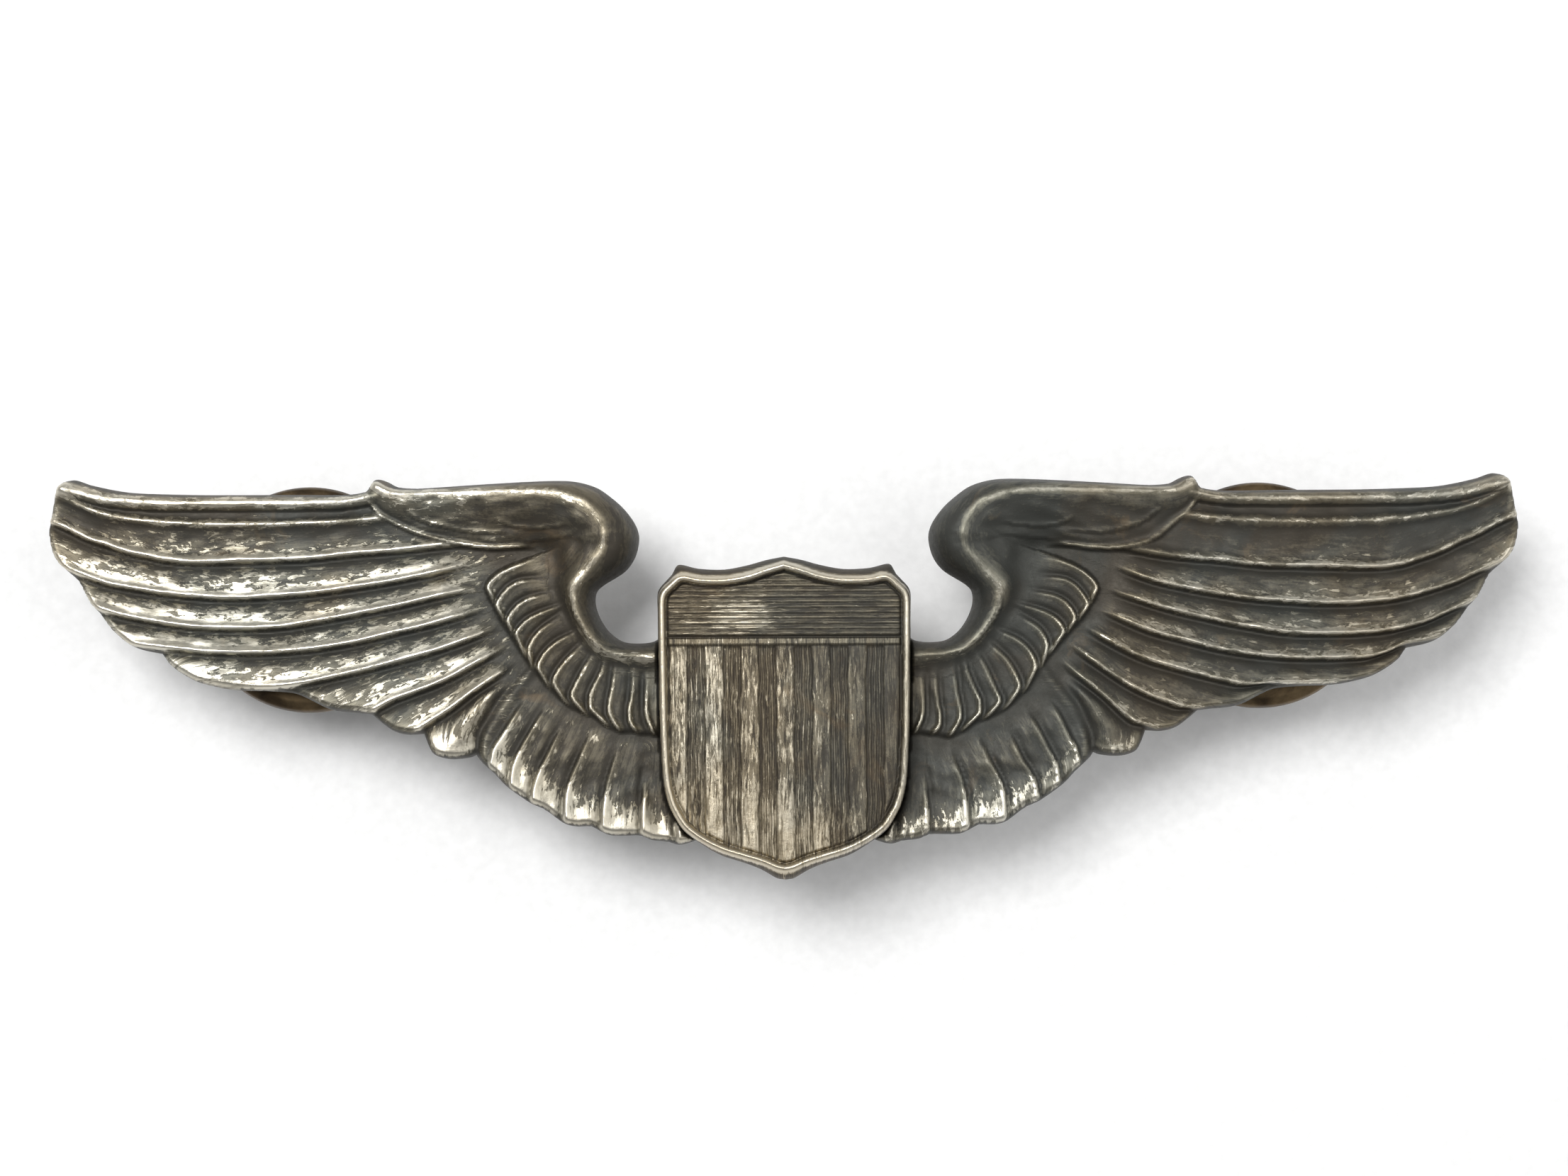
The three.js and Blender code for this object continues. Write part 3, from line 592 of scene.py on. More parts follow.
def arm(relief, P, D):
    """The arm: a rounded ridge between the outline and the sleeve's edge."""
    u, v = P[:, 0], P[:, 1]
    crest, along, _ = field(P, spline(CREST))
    sleeve, _, _ = field(P, spline(SLEEVE))
    here, outer = sleeve < 0, crest < 0
    from_crest, from_sleeve = np.abs(crest), np.abs(sleeve)
    top = np.interp(along, *zip(*CREST_HEIGHT))
    free = smooth(12.6, 14.0, u) * smooth(6.0, 6.3, v)
    over = EDGE_HEIGHT + (top - EDGE_HEIGHT) * dome(1 - share(D, from_crest))
    over = over + 0.02 * swell(along * 0.9, crest * 1.3) * smooth(0.1, 0.5, from_crest) * smooth(0, 0.5, D)
    under = sleeve_side(P, along, crest, from_crest, from_sleeve, top, free)
    lip = 1 - (1 - smooth(0, 0.14, from_sleeve)) * free
    under = GROUND + (under - GROUND) * lip
    soft = smooth(0, 1.2, from_sleeve)
    blended = relief.height + (np.maximum(under, relief.height) - relief.height) * soft
    height = np.where(outer, over, free * under + (1 - free) * blended)
    relief.form(here, np.maximum(relief.height, height))
    # A painted highlight along the crest, and painted shade over the outer band between the crest and the
    # outline.
    painted_light = 0.42 * line_of(crest, 0, 0.2) * smooth(21, 16, along) - 0.30 * outer * smooth(0.1, 0.4, from_crest)
    # A painted highlight along the sleeve's free edge and a painted shadow just inside it.
    edge = 0.3 * line_of(from_sleeve, 0.18, 0.14) - 0.12 * line_of(from_sleeve, 0.4, 0.12)
    painted_light = (painted_light + free * edge * ~outer) * (1 - (1 - soft) * (1 - free) * ~outer)
    # Bright flakes gather along the crest; fewer lie over the painted shade of the outer band.
    relief.lay(here, along, crest, painted_light, 1.2 * line_of(crest, 0, 0.3) - 0.2 * ~outer - 0.8 * outer)


def wing_relief(P, outline):
    """The relief of one wing, drawn on the right, and the points' distance to its outline."""
    D = np.maximum(depth(P, outline), 0)
    relief = Relief(P)
    edges = [field(P, spline(c), 3, 3) for c in EDGES]
    order = sum((d > 0).astype(int) for d, _, _ in edges)
    long_feathers(relief, D, edges, order)
    leading_edge(relief, P, edges[0], order == 0)
    short_lines = [field(P, spline(c), 2, 1.5) for c in SECONDARIES]
    short_feathers(relief, D, short_lines, edges[-1][0], order == len(edges))
    coverts(relief, P)
    arm(relief, P, D)
    relief.height = relief.height + 0.014 * swell(P[:, 0] * 1.4 + 3, P[:, 1] * 1.4) * smooth(0.1, 0.8, D)
    round_edge = dome(1 - np.clip(D / EDGE_ROUND, 0, 1))
    relief.height = EDGE_HEIGHT + (relief.height - EDGE_HEIGHT) * round_edge
    # A painted highlight along the outline round the wing's tip.
    relief.shade = relief.shade + 0.26 * line_of(D, 0.26, 0.16) * smooth(33, 36.5, P[:, 0])
    return relief, D

# ---------------- materials


def tree(name):
    """A new material, its Principled shader, a helper that adds nodes, and the material's links."""
    material = bpy.data.materials.new(name)
    material.use_nodes = True
    nodes, links = material.node_tree.nodes, material.node_tree.links
    shader = nodes["Principled BSDF"]

    def add(kind, inputs=None, **settings):
        node = nodes.new("ShaderNode" + kind)
        for key, value in settings.items():
            setattr(node, key, value)
        for key, value in (inputs or {}).items():
            if isinstance(value, bpy.types.NodeSocket):
                links.new(value, node.inputs[key])
            else:
                node.inputs[key].default_value = value
        return node

    return material, shader, add, links


def ramp(add, value, stops):
    """A colour ramp: each stop is (place, grey) or (place, (r, g, b))."""
    node = add("ValToRGB", {"Fac": value})
    elements = node.color_ramp.elements
    while len(elements) < len(stops):
        elements.new(0.5)
    for element, (place, shade) in zip(elements, stops):
        element.position = place
        element.color = (*shade, 1) if isinstance(shade, tuple) else (shade, shade, shade, 1)
    return node.outputs["Color"]


def maths(add, operation, a, b, clamp=False):
    return add("Math", {0: a, 1: b}, operation=operation, use_clamp=clamp).outputs[0]


def scaled(add, value, weight):
    return maths(add, "MULTIPLY", value, weight)


def mix(add, factor, a, b):
    """Colours a and b mixed, each a socket or (r, g, b). Inputs 6 and 7 are the node's two colours."""
    a, b = ((*colour, 1) if isinstance(colour, tuple) else colour for colour in (a, b))
    return add("Mix", {0: factor, 6: a, 7: b}, data_type="RGBA").outputs[2]


def noise(add, vector, scale, detail, rough, distortion=0.0):
    return add("TexNoise", {"Vector": vector, "Scale": scale, "Detail": detail,
                            "Roughness": rough, "Distortion": distortion}).outputs["Fac"]


def stretched(add, vector, scale, place=(0, 0, 0)):
    return add("Mapping", {"Vector": vector, "Scale": scale, "Location": place}).outputs["Vector"]


def spread(add, value, low, high):
    """A texture's value stretched so that low becomes 0 and high becomes 1."""
    return add("MapRange", {"Value": value, "From Min": low, "From Max": high}, clamp=True).outputs["Result"]


def summed(add, *terms):
    """The sum of (value, weight) terms, each value measured from its middle, 0.5."""
    total = 0.0
    for value, weight in terms:
        total = maths(add, "ADD", scaled(add, maths(add, "SUBTRACT", value, 0.5), weight), total)
    return total


def uneven(add, links, shader, height, strength, distance=0.00003):
    """Makes a surface uneven by a texture's value, distance metres deep."""
    bump = add("Bump", {"Height": height, "Strength": strength, "Distance": distance})
    links.new(bump.outputs["Normal"], shader.inputs["Normal"])


# Silver's colours, from its hollows and painted shade to its worn edges and painted highlights: first as grey
# tarnish, then as brown.
DARK = (0.046, 0.048, 0.043), (0.048, 0.038, 0.026)
MID = (0.165, 0.162, 0.132), (0.185, 0.155, 0.105)
LIGHT = (0.55, 0.53, 0.455), (0.53, 0.47, 0.36)
OCHRE = (0.25, 0.16, 0.075)


def silver_colour(add, place, wear_and_painted_light, brown):
    """The colour of old silver by how worn it is, with painted highlight and shade, in grey or brown tarnish,
    with a few ochre spots.
    """
    hue = noise(add, stretched(add, place, (1, 1, 1), (0.3, 0.1, 0)), 130, 4, 0.55, 0.6)
    hue = maths(add, "ADD", scaled(add, spread(add, hue, 0.40, 0.60), 0.7), brown - 0.35, clamp=True)
    dark, mid, light = (mix(add, hue, *pair) for pair in (DARK, MID, LIGHT))
    colour = mix(add, spread(add, wear_and_painted_light, 0.05, 0.45), dark, mid)
    colour = mix(add, spread(add, wear_and_painted_light, 0.45, 0.95), colour, light)
    rust = noise(add, stretched(add, place, (1, 1, 1), (0.12, 0.27, 0)), 330, 6, 0.65, 0.8)
    return mix(add, scaled(add, spread(add, rust, 0.60, 0.74), 0.2), colour, OCHRE)


def tarnished_silver(name, bias, relief, streak, flake, dirt, brown):
    """Old silver: bright where it is worn and where highlights are painted, grey on the flats, near black in
    the hollows and where shade is painted. bias is its general brightness, relief how far hollows darken and
    how strongly the painted highlight and shade lines show, streak and flake how strongly fine streaks and
    worn patches show, dirt how dark its stains are, and brown how brown its tarnish is."""
    material, shader, add, links = tree(name)
    place = add("TexCoord").outputs["Object"]
    grain = add("Attribute", attribute_name="grain").outputs["Vector"]
    wear_values = ("rise_and_painted_light", "tone", "rub_and_painted_light")
    rise_and_painted_light, tone, rub_and_painted_light = (add("Attribute", attribute_name=value).outputs["Fac"] for value in wear_values)

    streaks = spread(add, noise(add, stretched(add, grain, (0.8, 6.0, 1.0)), 1.0, 5, 0.65, 0.3), 0.33, 0.67)
    worn = noise(add, stretched(add, grain, (1.15, 3.6, 1.0), (7, 3, 0)), 1.0, 8, 0.72, 0.5)
    grime = noise(add, stretched(add, grain, (0.5, 1.7, 1.0), (2, 9, 0)), 1.0, 7, 0.7, 0.6)
    grime = spread(add, grime, 0.50, 0.60)
    broad = spread(add, noise(add, place, 170, 4, 0.55), 0.35, 0.65)
    fine = spread(add, noise(add, place, 4200, 4, 0.7), 0.3, 0.7)

    # The relief's rise with its painted lines: hollows darkened by tarnish, worn high spots, and the painted
    # highlight and shade.
    rubbed_and_painted_light = scaled(add, rise_and_painted_light, relief)
    broad_part = maths(add, "SUBTRACT", broad, 0.5)
    for value, weight in ((rubbed_and_painted_light, 0.12), (rub_and_painted_light, 0.11), (tone, 0.40), (broad_part, 0.12)):
        worn = maths(add, "ADD", worn, scaled(add, value, weight))
    flakes = spread(add, worn, 0.52, 0.56)
    # tone brings in the regions' tones, with the shield's painted shade and sheen.
    wear_and_painted_light = maths(add, "ADD", rubbed_and_painted_light, scaled(add, tone, 0.35))
    wear_and_painted_light = maths(add, "ADD", wear_and_painted_light, summed(add, (streaks, streak), (broad, 0.14), (fine, 0.17)))
    wear_and_painted_light = maths(add, "ADD", wear_and_painted_light, bias)
    wear_and_painted_light = maths(add, "SUBTRACT", wear_and_painted_light, scaled(add, grime, dirt))
    wear_and_painted_light = maths(add, "ADD", wear_and_painted_light, scaled(add, flakes, flake), clamp=True)

    links.new(silver_colour(add, place, wear_and_painted_light, brown), shader.inputs["Base Color"])
    links.new(ramp(add, wear_and_painted_light, [(0.0, 0.62), (0.45, 1.0)]), shader.inputs["Metallic"])
    rough = ramp(add, wear_and_painted_light, [(0.0, 0.58), (0.45, 0.46), (0.8, 0.37), (1.0, 0.33)])
    rough = maths(add, "ADD", rough, summed(add, (fine, 0.14)), clamp=True)
    links.new(rough, shader.inputs["Roughness"])
    uneven(add, links, shader, summed(add, (streaks, 0.25), (flakes, 0.4), (fine, 0.35)), 0.5)
    return material


def worn_metal(name, bright, mid, dark, rough, scale=900.0):
    """A plain fitting's metal, uneven with age."""
    material, shader, add, links = tree(name)
    place = add("TexCoord").outputs["Object"]
    broad = noise(add, place, scale, 5, 0.6, 0.3)
    fine = noise(add, place, scale * 7, 4, 0.7)
    pits = add("TexVoronoi", {"Vector": place, "Scale": scale * 2.2, "Randomness": 1.0}).outputs["Distance"]
    colour = ramp(add, broad, [(0.3, dark), (0.5, mid), (0.72, bright)])
    colour = mix(add, scaled(add, fine, 0.35), colour, dark)
    links.new(colour, shader.inputs["Base Color"])
    shader.inputs["Metallic"].default_value = 1.0
    roughness = maths(add, "ADD", scaled(add, broad, 0.3), rough - 0.15, clamp=True)
    links.new(roughness, shader.inputs["Roughness"])
    uneven(add, links, shader, maths(add, "ADD", fine, scaled(add, pits, 0.4)), 0.35)
    return material

# ---------------- the wings


def shield_outline(step=0.09):
    """The shield's outline, all the way round."""
    return both_halves(spline(SHIELD_HALF, step, {SHIELD_HALF[0], SHIELD_HALF[-1]}))


def wing_top(P, outline):
    """A wing's relief, cut down where it passes below the shield, with where that is."""
    relief, D = wing_relief(P, outline)
    from_shield = depth(P, shield_outline(0.5) * [1.012, 1.006])
    covered = from_shield > 0
    relief.form(covered, np.minimum(relief.height, 1.0))
    return relief, D, covered, np.abs(from_shield)


def right_places(points, D):
    """The right wing's points. It isn't quite the left one's mirror image: its scales and feathers sit
    further out and lower, inside the same outline."""
    u, v = points[:, 0], points[:, 1]
    out = 0.3 * smooth(-4, -1, v) + 0.55 * smooth(0.5, 4, v)
    out = out * smooth(8.5, 14, u) * smooth(25, 17.5, u) * smooth(8.5, 6.5, v)
    feathers_down = 0.55 * smooth(13, 19, u) * smooth(37, 31, u) * smooth(8.6, 6.6, v)
    scales_down = 0.35 * smooth(1, -0.5, v) * smooth(-6, -3.5, v) * smooth(6.8, 8.5, u) * smooth(15, 12, u)
    move = np.column_stack([out, -feathers_down - scales_down])
    return points + move * smooth(0, 1.6, D)[:, None]


def wing_tones(points, D):
    """How much brighter or darker the regions of the right and the left wing are."""
    u, v = points[:, 0], points[:, 1]
    tips = smooth(2.2, 0.4, D) * smooth(-3.0, -5.0, v)
    lead = smooth(6.5, 8.0, v) * smooth(20, 22, u)
    upper_arm = smooth(21.5, 20, u) * smooth(6.0, 7.4, v)
    inner_arm = smooth(13, 11.5, u) * smooth(1.5, 3, v) * smooth(7.4, 6.0, v)
    arms = upper_arm + inner_arm
    short = smooth(17, 14, u) * smooth(0.5, -2, v) * (1 - tips)
    long = smooth(13, 18, u) * (1 - lead) * smooth(-3, 0, v)
    right = -0.28 + 0.15 * tips - 0.09 * lead - 0.26 * arms - 0.08 * short
    left = -0.08 + 0.13 * tips - 0.04 * lead + 0.15 * long - 0.19 * arms - 0.08 * short
    return right, left


def wings():
    """Both wings in one piece: the right half's points and faces, and their mirror images."""
    rim = spline(OUTLINE, 0.16, CORNERS)
    half = np.vstack([rim, [(0, v) for v in np.arange(-8.05, 2.85, 0.17)]])
    points, faces = fill_outline(half, 0.105, 0.088, 0.045)
    edge = spline(OUTLINE, 0.35, CORNERS)
    relief, D, covered, from_shield = wing_top(points, edge)
    rise = rise_over_surroundings(lambda P: wing_top(P, edge)[0].height, half, 0.085)(points)
    # Tarnish darkens the hollows and high places are worn brighter; the relief's painted highlight and shade
    # lines are added on top.
    rise_and_painted_light = np.where(covered, -0.3, np.clip(rise, -0.5, 0.5) + 0.9 * relief.shade)
    # Painted shade along the lower outline, where the edge rounds under, with fewer bright flakes there; the
    # wing is also darker close to the shield.
    shaded_lower_edge = line_of(D, 0, 0.24) * smooth(-1, -3, points[:, 1])
    rise_and_painted_light = rise_and_painted_light - 0.2 * smooth(0.5, 0, from_shield) * ~covered - 0.35 * shaded_lower_edge
    rub_and_painted_light = relief.rub_and_painted_light - 0.8 * shaded_lower_edge

    total, n = len(points), len(rim)
    off_axis = np.abs(points[:, 0]) >= 1e-9
    mirrored = np.where(off_axis, total + np.cumsum(off_axis) - 1, np.arange(total))
    faces = faces + [[int(mirrored[k]) for k in reversed(f)] for f in faces]
    place = np.vstack([right_places(points, D), points[off_axis] * [-1, 1]])
    right_tone, left_tone = wing_tones(points, D)
    loop = list(range(n)) + [int(mirrored[k]) for k in range(n - 2, 0, -1)]
    height, rise_and_painted_light, rub_and_painted_light = (np.append(value, value[off_axis]) for value in (relief.height, rise_and_painted_light, rub_and_painted_light))
    tone = np.append(right_tone, left_tone[off_axis])
    grain = np.vstack([relief.grain, relief.grain[off_axis] + [140, 60]])
    return closed_relief("wings", place, height, faces, loop, BACK_Z, rise_and_painted_light, tone, rub_and_painted_light, grain)

# ---------------- the shield


SHIELD_HALF = [
    (0, 6.15), (0.9, 5.98), (1.8, 5.73), (3.05, 5.5), (4.4, 5.55), (5.4, 5.75), (5.75, 5.25), (6.37, 4.57),
    (6.5, 4.17), (6.48, 2.93), (6.4, -2.1), (6.3, -4.4), (6.2, -5.5), (5.97, -6.5), (5.63, -7.2),
    (5.18, -7.88), (4.28, -8.55), (3.27, -9.13), (2.14, -9.5), (1.24, -9.85), (0.45, -10.3),
    (0, -SHIELD_FOOT),
]
BEAD_HALF = [
    (0, 5.62), (0.9, 5.36), (1.8, 5.06), (3.0, 4.86), (4.3, 4.88), (5.2, 5.02), (5.75, 4.62), (6.18, 4.1),
    (6.22, 2.9), (6.15, -2.1), (6.05, -4.4), (5.94, -5.5), (5.7, -6.4), (5.38, -7.05), (4.95, -7.65),
    (4.1, -8.26), (3.1, -8.74), (2.0, -9.08), (1.1, -9.36), (0.4, -9.66), (0, -9.74),
]
BEAD_WIDE = 0.42
SHIELD_WALL = 0.95    # where the sloped wall starts over the shield's own back
SHIELD_FIELD = 2.08
SHIELD_TOP = 2.45
CHIEF_LOW = 2.06
CHIEF_PITCH = 0.272
BAR = (1.58, 1.97)
STRIPE_PITCH = 1.82
STRIPE_HALF = 0.43
HATCH_PITCH = 0.245


def shield_field(u, v, in_chief):
    """Heights inside the bead: the ribbed chief, the bar, and plain stripes between hatched ones. Also
    where the plain stripes are."""
    ribs = 0.09 * np.abs(np.sin(np.pi * (v - CHIEF_LOW) / CHIEF_PITCH)) ** 0.8
    bar = 0.14 * smooth(BAR[0] - 0.03, BAR[0] + 0.05, v) * smooth(BAR[1] + 0.03, BAR[1] - 0.05, v)
    waver = 0.035 * swell(v * 0.8, u * 0.4)
    across = np.abs((u + waver - 0.05 + STRIPE_PITCH / 2) % STRIPE_PITCH - STRIPE_PITCH / 2)
    stripe = smooth(STRIPE_HALF + 0.07, STRIPE_HALF - 0.06, across)
    hatch = 0.05 * np.cos((across - STRIPE_PITCH / 2) * 2 * np.pi / HATCH_PITCH)
    stripes = (1 - stripe) * (hatch - 0.06) + (0.03 + 0.015 * swell(v * 0.5, u * 2.5)) * stripe
    below = smooth(BAR[0] - 0.03, BAR[0] - 0.12, v)
    groove = 0.08 * (1 - in_chief) * smooth(BAR[1] - 0.05, BAR[1] + 0.03, v)
    crowned = SHIELD_FIELD - 0.16 + 0.12 * smooth(7, 0, np.abs(u))
    return crowned + in_chief * ribs + bar + below * stripes - groove, stripe * below


def shield_height(P, ring):
    """Height above the shield's own back: a sloped wall, a bead, and the field inside. Also the place
    across the bead, from 0 to 1, and where the chief and the plain stripes are."""
    D = np.maximum(depth(P, ring), 0)
    middle = both_halves(spline(BEAD_HALF, 0.22, {BEAD_HALF[0], BEAD_HALF[-1]}))
    gap = depth(P, middle)
    t = (gap + BEAD_WIDE / 2) / BEAD_WIDE
    bead = SHIELD_FIELD + (SHIELD_TOP - SHIELD_FIELD) * dome(2 * t - 1)
    in_chief = smooth(CHIEF_LOW - 0.05, CHIEF_LOW + 0.02, P[:, 1])
    inner, stripe = shield_field(P[:, 0], P[:, 1], in_chief)
    valley = SHIELD_FIELD - 0.2
    inner = valley + (inner - valley) * smooth(0.0, 0.16, gap - BEAD_WIDE / 2)
    slope = np.sqrt(share(D, np.maximum(-gap - BEAD_WIDE / 2, 0)))
    wall = SHIELD_WALL + (SHIELD_FIELD - SHIELD_WALL) * slope
    return np.where(t > 1, inner, np.where(t < 0, wall, bead)), t, in_chief, stripe


def shield():
    """The shield, worn and with painted light: the bead's left and the chief's middle are painted brightest,
    and the right side darker.
    """
    ring = shield_outline()
    points, faces = fill_outline(ring, 0.056, 0.05, 0.025)
    edge = shield_outline(0.22)
    height, t, in_chief, stripe = shield_height(points, edge)
    rise = rise_over_surroundings(lambda P: shield_height(P, edge)[0], ring, 0.05)(points)
    u, v = points[:, 0], points[:, 1]
    wall = smooth(SHIELD_FIELD, 0.86 * SHIELD_FIELD, height) * (t <= 0)
    bead = (t < 1) & (wall < 1)
    # Painted light on the bead: brightest to the left, darker on the right below the chief.
    painted_light = 0.1 + 0.32 * smooth(2, -6, u) - 0.16 * smooth(1, 6, u) * smooth(6, 1, v)
    rise = np.where(in_chief > 0.5, 1.5 * rise, np.where(v < BAR[0], 0.75 * rise, rise))
    # The sloped wall is painted darker, as painted shade.
    rise = (rise + painted_light * bead) * (1 - wall) - 0.20 * wall
    upright, level = np.column_stack([v, u * 2.2 + 80]), np.column_stack([u + 40, v * 3])
    grain = np.where((in_chief > 0.5)[:, None], level, upright)
    # A painted sheen on the chief, left of the middle.
    painted_sheen = line_of(u, -2.1, 1.5) * line_of(v, 3.0, 0.7) * in_chief
    # Painted shade darkens the shield towards the right, the plain stripes are painted lighter towards the
    # left, and the sheen is painted in.
    tone = -0.06 - 0.20 * smooth(0.4, 6, u) + 0.07 * stripe * smooth(3, 0, u) + 0.35 * painted_sheen
    # More bright flakes on the bead, towards the foot, on the plain stripes and in the painted sheen; fewer
    # on the painted-dark wall.
    rub_and_painted_light = np.where(bead, 0.3, 0.9 * smooth(-4.5, -8, v) + 0.2 * stripe + 0.8 * painted_sheen)
    rub_and_painted_light = rub_and_painted_light * (1 - wall) - 0.7 * wall
    loop = list(range(len(ring)))
    return closed_relief("shield_front", points, height, faces, loop, SHIELD_BACK, rise, tone, rub_and_painted_light, grain)

# ---------------- the fastenings


def turned(name, profile, centre, segments):
    """A turned body about an upright axis, from a closed profile of (radius, height)."""
    rings = np.array(profile, float)
    n = len(rings)
    angle = np.arange(segments) * 2 * math.pi / segments
    radius, turn = rings[:, 0][:, None], angle[None, :]
    X, Y = centre[0] + radius * np.cos(turn), centre[1] + radius * np.sin(turn)
    Z = np.repeat(rings[:, 1][:, None], segments, 1)
    faces = []
    for i in range(n):
        k = (i + 1) % n
        if rings[i, 0] < 1e-9 and rings[k, 0] < 1e-9:
            continue
        for j in range(segments):
            m = (j + 1) % segments
            faces.append([i * segments + j, k * segments + j, k * segments + m, i * segments + m])
    piece = new_object(name, np.stack([X, Y, Z], 2).reshape(-1, 3), faces)
    work = bmesh.new()
    work.from_mesh(piece.data)
    bmesh.ops.remove_doubles(work, verts=work.verts, dist=1e-7)
    bmesh.ops.dissolve_degenerate(work, edges=work.edges, dist=1e-8)
    bmesh.ops.recalc_face_normals(work, faces=work.faces)
    work.to_mesh(piece.data)
    work.free()
    piece.data.shade_smooth()
    piece.data.set_sharp_from_angle(angle=math.radians(38))
    return piece


def softened(profile, radius, steps=4):
    """The profile with each corner off the axis rounded over."""
    p = np.array(profile, float)
    out = []
    for i in range(len(p)):
        a, b, c = p[i - 1], p[i], p[(i + 1) % len(p)]
        if b[0] < 1e-9:
            out.append(b)
            continue
        to_a, to_c = np.linalg.norm(a - b), np.linalg.norm(c - b)
        reach = min(radius, to_a * 0.45, to_c * 0.45)
        s, e = b + (a - b) / to_a * reach, b + (c - b) / to_c * reach
        for k in range(steps + 1):
            t = k / steps
            out.append((1 - t) ** 2 * s + 2 * t * (1 - t) * b + t ** 2 * e)
    return out


def bevelled(name, node, width, segments=3):
    """A finer copy of a CAD piece: its flats joined and its edges rounded."""
    mesh = frame["nodes"][node].data.copy()
    mesh.name = name
    mesh.materials.clear()
    piece = bpy.data.objects.new(name, mesh)
    bpy.context.scene.collection.objects.link(piece)
    work = bmesh.new()
    work.from_mesh(mesh)
    bmesh.ops.remove_doubles(work, verts=work.verts, dist=1e-7)
    bmesh.ops.dissolve_limit(work, angle_limit=math.radians(3), verts=work.verts, edges=work.edges)
    sharp = [e for e in work.edges if len(e.link_faces) == 2 and e.calc_face_angle() > math.radians(28)]
    bmesh.ops.bevel(work, geom=sharp, offset=width * MM, offset_type="OFFSET", segments=segments,
                    profile=0.5, affect="EDGES", clamp_overlap=True)
    bmesh.ops.triangulate(work, faces=[f for f in work.faces if len(f.verts) > 4])
    work.to_mesh(mesh)
    work.free()
    mesh.shade_smooth()
    mesh.set_sharp_from_angle(angle=math.radians(34))
    return piece


def round_box(node):
    """The outer radius, foot and top of a round CAD piece, and its axis."""
    low, high = (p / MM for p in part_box(node))
    return (high.x - low.x) / 2, low.z, high.z, ((low.x + high.x) / 2, (low.y + high.y) / 2)


def pointed_post(side):
    """The post, with a neck for the clutch to grip and a point."""
    r, foot, top, centre = round_box(f"post_{side}")
    neck, neck_radius, point_radius = foot + 1.2, 0.4, 0.13
    body = softened([(r, top), (r, neck + 0.6), (neck_radius, neck + 0.35), (neck_radius, neck),
                     (r, neck - 0.3), (point_radius, foot + 0.06)], 0.16, 5)
    return turned(f"pin_{side}", [(0, top)] + body + [(0, foot)], centre, 64)


def solder_pad(side, centre):
    """The pad at the post's root, with a chamfered edge and a shallow ring round the post."""
    r, foot, top, _ = round_box(f"post_pad_{side}")
    chamfer = 0.34
    edge = [(r, top), (r, foot + chamfer), (r - chamfer, foot), (1.15, foot + 0.02), (0.8, foot)]
    return turned(f"pin_base_{side}", [(0, top)] + softened(edge, 0.12) + [(0, foot)], centre, 96)


def clutch_cap(side, centre):
    """The clutch's disc: a shallow cup of sheet with a rounded rim and a ring pressed in its top."""
    r, foot, top, _ = round_box(f"clutch_disc_{side}")
    sheet, hole = 0.35, 1.05
    cup = [
        (hole, top), (hole, top - sheet), (r - 1.15, top - sheet), (r - 0.75, top - sheet - 0.12),
        (r - sheet - 0.06, top - 0.75), (r - sheet, foot + 0.1), (r - sheet + 0.06, foot), (r - 0.06, foot),
        (r, foot + 0.1), (r, top - 0.52), (r - 0.14, top - 0.18), (r - 0.5, top - 0.02), (r - 0.95, top),
        (r - 1.2, top), (r - 1.32, top - 0.07), (r - 1.5, top - 0.07), (r - 1.62, top),
    ]
    return turned(f"clutch_cap_{side}", softened(cup, 0.12), centre, 128)


def clutch_bush(side, centre):
    """The eyelet: a tube with a flange rolled out at each end."""
    _, foot, top, _ = round_box(f"clutch_eyelet_{side}")
    bore, tube, lower_flange, upper_flange = 0.62, 0.98, 1.5, 1.7
    rolled = [
        (bore, foot), (lower_flange - 0.14, foot), (lower_flange, foot + 0.08), (lower_flange, foot + 0.2),
        (tube, foot + 0.21), (tube, top - 0.18), (upper_flange - 0.08, top - 0.18),
        (upper_flange, top - 0.12), (upper_flange - 0.12, top), (bore + 0.12, top), (bore, top - 0.1),
    ]
    return turned(f"clutch_bush_{side}", softened(rolled, 0.05, 3), centre, 80)

# ---------------- putting it together


bodies = frame["record"]["behaviour"]["bodies"]
body_of_node = {node: body for body, nodes in bodies.items() for node in nodes}


looks = {
    "wing_silver": tarnished_silver(
        "wing_silver", bias=0.22, relief=0.8, streak=0.16, flake=0.44, dirt=0.20, brown=0.42),
    "shield_silver": tarnished_silver(
        "shield_silver", bias=0.27, relief=0.9, streak=0.34, flake=0.36, dirt=0.34, brown=0.80),
    "post_metal": worn_metal("post_metal", (0.62, 0.60, 0.55), (0.42, 0.40, 0.36), (0.16, 0.15, 0.13), 0.40),
    "clutch_brass": worn_metal(
        "clutch_brass", (0.20, 0.145, 0.08), (0.085, 0.06, 0.034), (0.028, 0.021, 0.015), 0.45, 500),
    "spring_metal": worn_metal(
        "spring_metal", (0.55, 0.53, 0.49), (0.36, 0.34, 0.31), (0.14, 0.13, 0.11), 0.34),
}


def stands_for(piece, node, slot):
    """Makes the piece move with its CAD node, stand in its place and have the slot's look."""
    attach(piece, body_of_node[node])
    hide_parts(node)
    piece.data.materials.append(looks[slot])


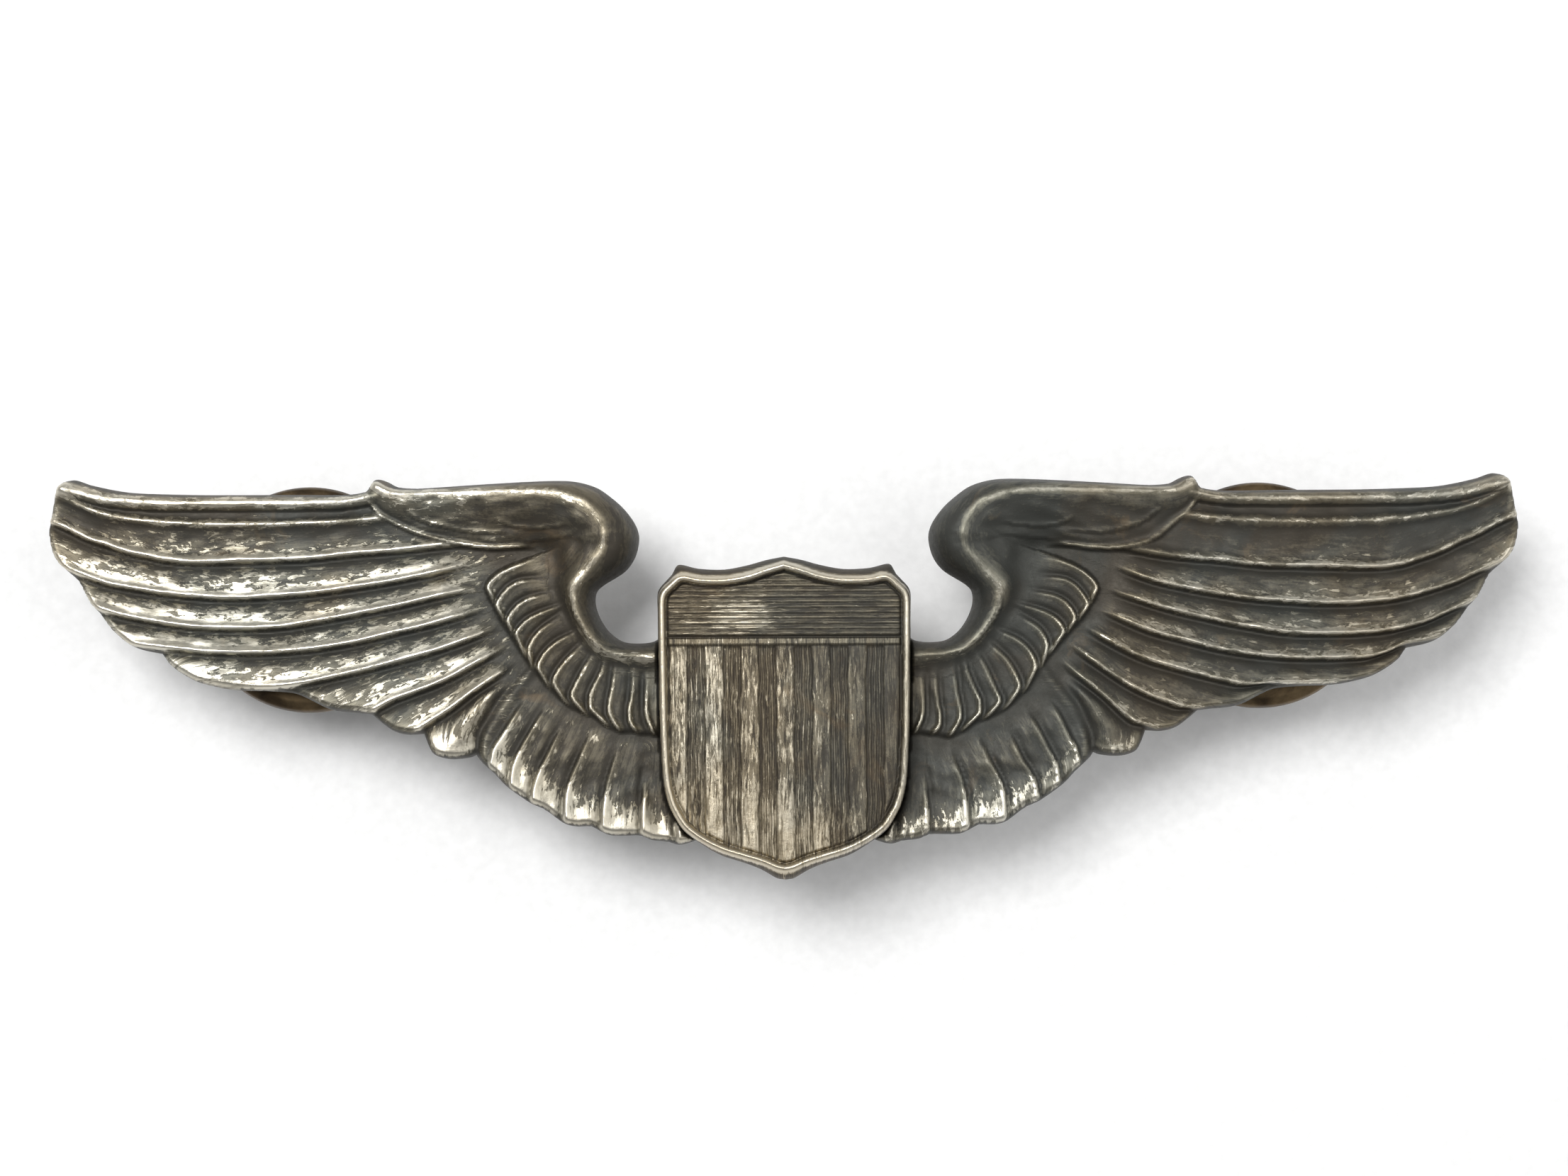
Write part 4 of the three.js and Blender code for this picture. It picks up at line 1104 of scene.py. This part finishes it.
stands_for(wings(), "wing_plate", "wing_silver")
stands_for(shield(), "shield", "shield_silver")
for side in ("left", "right"):
    axis = round_box(f"post_{side}")[-1]
    stands_for(pointed_post(side), f"post_{side}", "post_metal")
    stands_for(solder_pad(side, axis), f"post_pad_{side}", "post_metal")
    stands_for(clutch_cap(side, axis), f"clutch_disc_{side}", "clutch_brass")
    stands_for(clutch_bush(side, axis), f"clutch_eyelet_{side}", "clutch_brass")
    saddle, spring = f"clutch_saddle_{side}", f"clutch_spring_{side}"
    stands_for(bevelled(f"clutch_frame_{side}", saddle, 0.05), saddle, "clutch_brass")
    stands_for(bevelled(f"clutch_leaf_{side}", spring, 0.025, 2), spring, "spring_metal")
    for tab in (f"tab_upper_{side}", f"tab_lower_{side}"):
        stands_for(bevelled(f"finger_{tab}", tab, 0.07), tab, "clutch_brass")

# ---------------- floor, lights and camera


def floor():
    """A pale cloth-like floor with a slight weave, just below the pin."""
    size, cells, level = 900.0, 24, -0.02
    n = cells + 1
    ticks = np.linspace(-size / 2, size / 2, n)
    X, Y = np.meshgrid(ticks, ticks, indexing="ij")
    vertices = np.column_stack([X.ravel(), Y.ravel(), np.full(X.size, level)])
    faces = [[i * n + j, (i + 1) * n + j, (i + 1) * n + j + 1, i * n + j + 1]
             for i in range(cells) for j in range(cells)]
    piece = new_object("floor", vertices, faces)
    material, shader, add, links = tree("floor_cloth")
    place = add("TexCoord").outputs["Object"]
    weave = noise(add, place, 1500, 3, 0.5)
    colour = ramp(add, weave, [(0.3, (0.84, 0.84, 0.835)), (0.7, (0.90, 0.90, 0.895))])
    links.new(colour, shader.inputs["Base Color"])
    shader.inputs["Roughness"].default_value = 0.9
    uneven(add, links, shader, weave, 0.12, 0.0002)
    piece.data.materials.append(material)


def soft_light(name, offset, size, power):
    """A square area light, placed from the pin's middle and aimed at it."""
    lamp = bpy.data.lights.new(name, "AREA")
    lamp.shape = "RECTANGLE"
    lamp.size, lamp.size_y = size, size
    lamp.energy = power
    piece = bpy.data.objects.new(name, lamp)
    piece.location = middle + Vector(offset)
    piece.rotation_euler = (-Vector(offset)).to_track_quat("-Z", "Y").to_euler()
    bpy.context.scene.collection.objects.link(piece)


def studio():
    """A world that is grey overhead and pale towards the horizon."""
    world = bpy.data.worlds.new("studio")
    bpy.context.scene.world = world
    world.use_nodes = True
    nodes, links = world.node_tree.nodes, world.node_tree.links
    direction = nodes.new("ShaderNodeTexCoord")
    parts = nodes.new("ShaderNodeSeparateXYZ")
    fade = nodes.new("ShaderNodeValToRGB")
    links.new(direction.outputs["Generated"], parts.inputs["Vector"])
    links.new(parts.outputs["Z"], fade.inputs["Fac"])
    links.new(fade.outputs["Color"], nodes["Background"].inputs["Color"])
    stops = fade.color_ramp.elements
    stops[0].position, stops[0].color = 0.1, (0.95, 0.95, 0.95, 1)
    stops[1].position, stops[1].color = 0.9, (0.22, 0.22, 0.225, 1)
    nodes["Background"].inputs["Strength"].default_value = 0.75


def camera():
    """A camera almost overhead, which frames the pin as the photograph does."""
    distance = 0.140
    margin = 1.058
    tilt, roll = math.radians(87.5), math.radians(-0.29)
    target = Vector((middle.x, middle.y + 0.0595 * width, high.z - 0.0017))
    lens = bpy.data.cameras.new("camera")
    lens.angle = 2 * math.atan(margin * width / 2 / distance)
    lens.clip_start, lens.clip_end = 0.005, 5
    piece = bpy.data.objects.new("camera", lens)
    bpy.context.scene.collection.objects.link(piece)
    piece.location = target + distance * Vector((0, -math.cos(tilt), math.sin(tilt)))
    piece.rotation_mode = "QUATERNION"
    aim = (target - piece.location).to_track_quat("-Z", "Y")
    piece.rotation_quaternion = aim @ Quaternion((0, 0, 1), roll)
    return piece


low, high = cad_box
middle = (low + high) / 2
width = high.x - low.x

floor()
soft_light("key", (-0.085, 0.095, 0.30), 0.13, 0.90)
soft_light("fill", (0.20, 0.02, 0.28), 0.25, 0.36)
studio()
bpy.context.scene.camera = camera()
bpy.context.scene.view_settings.view_transform = "Standard"
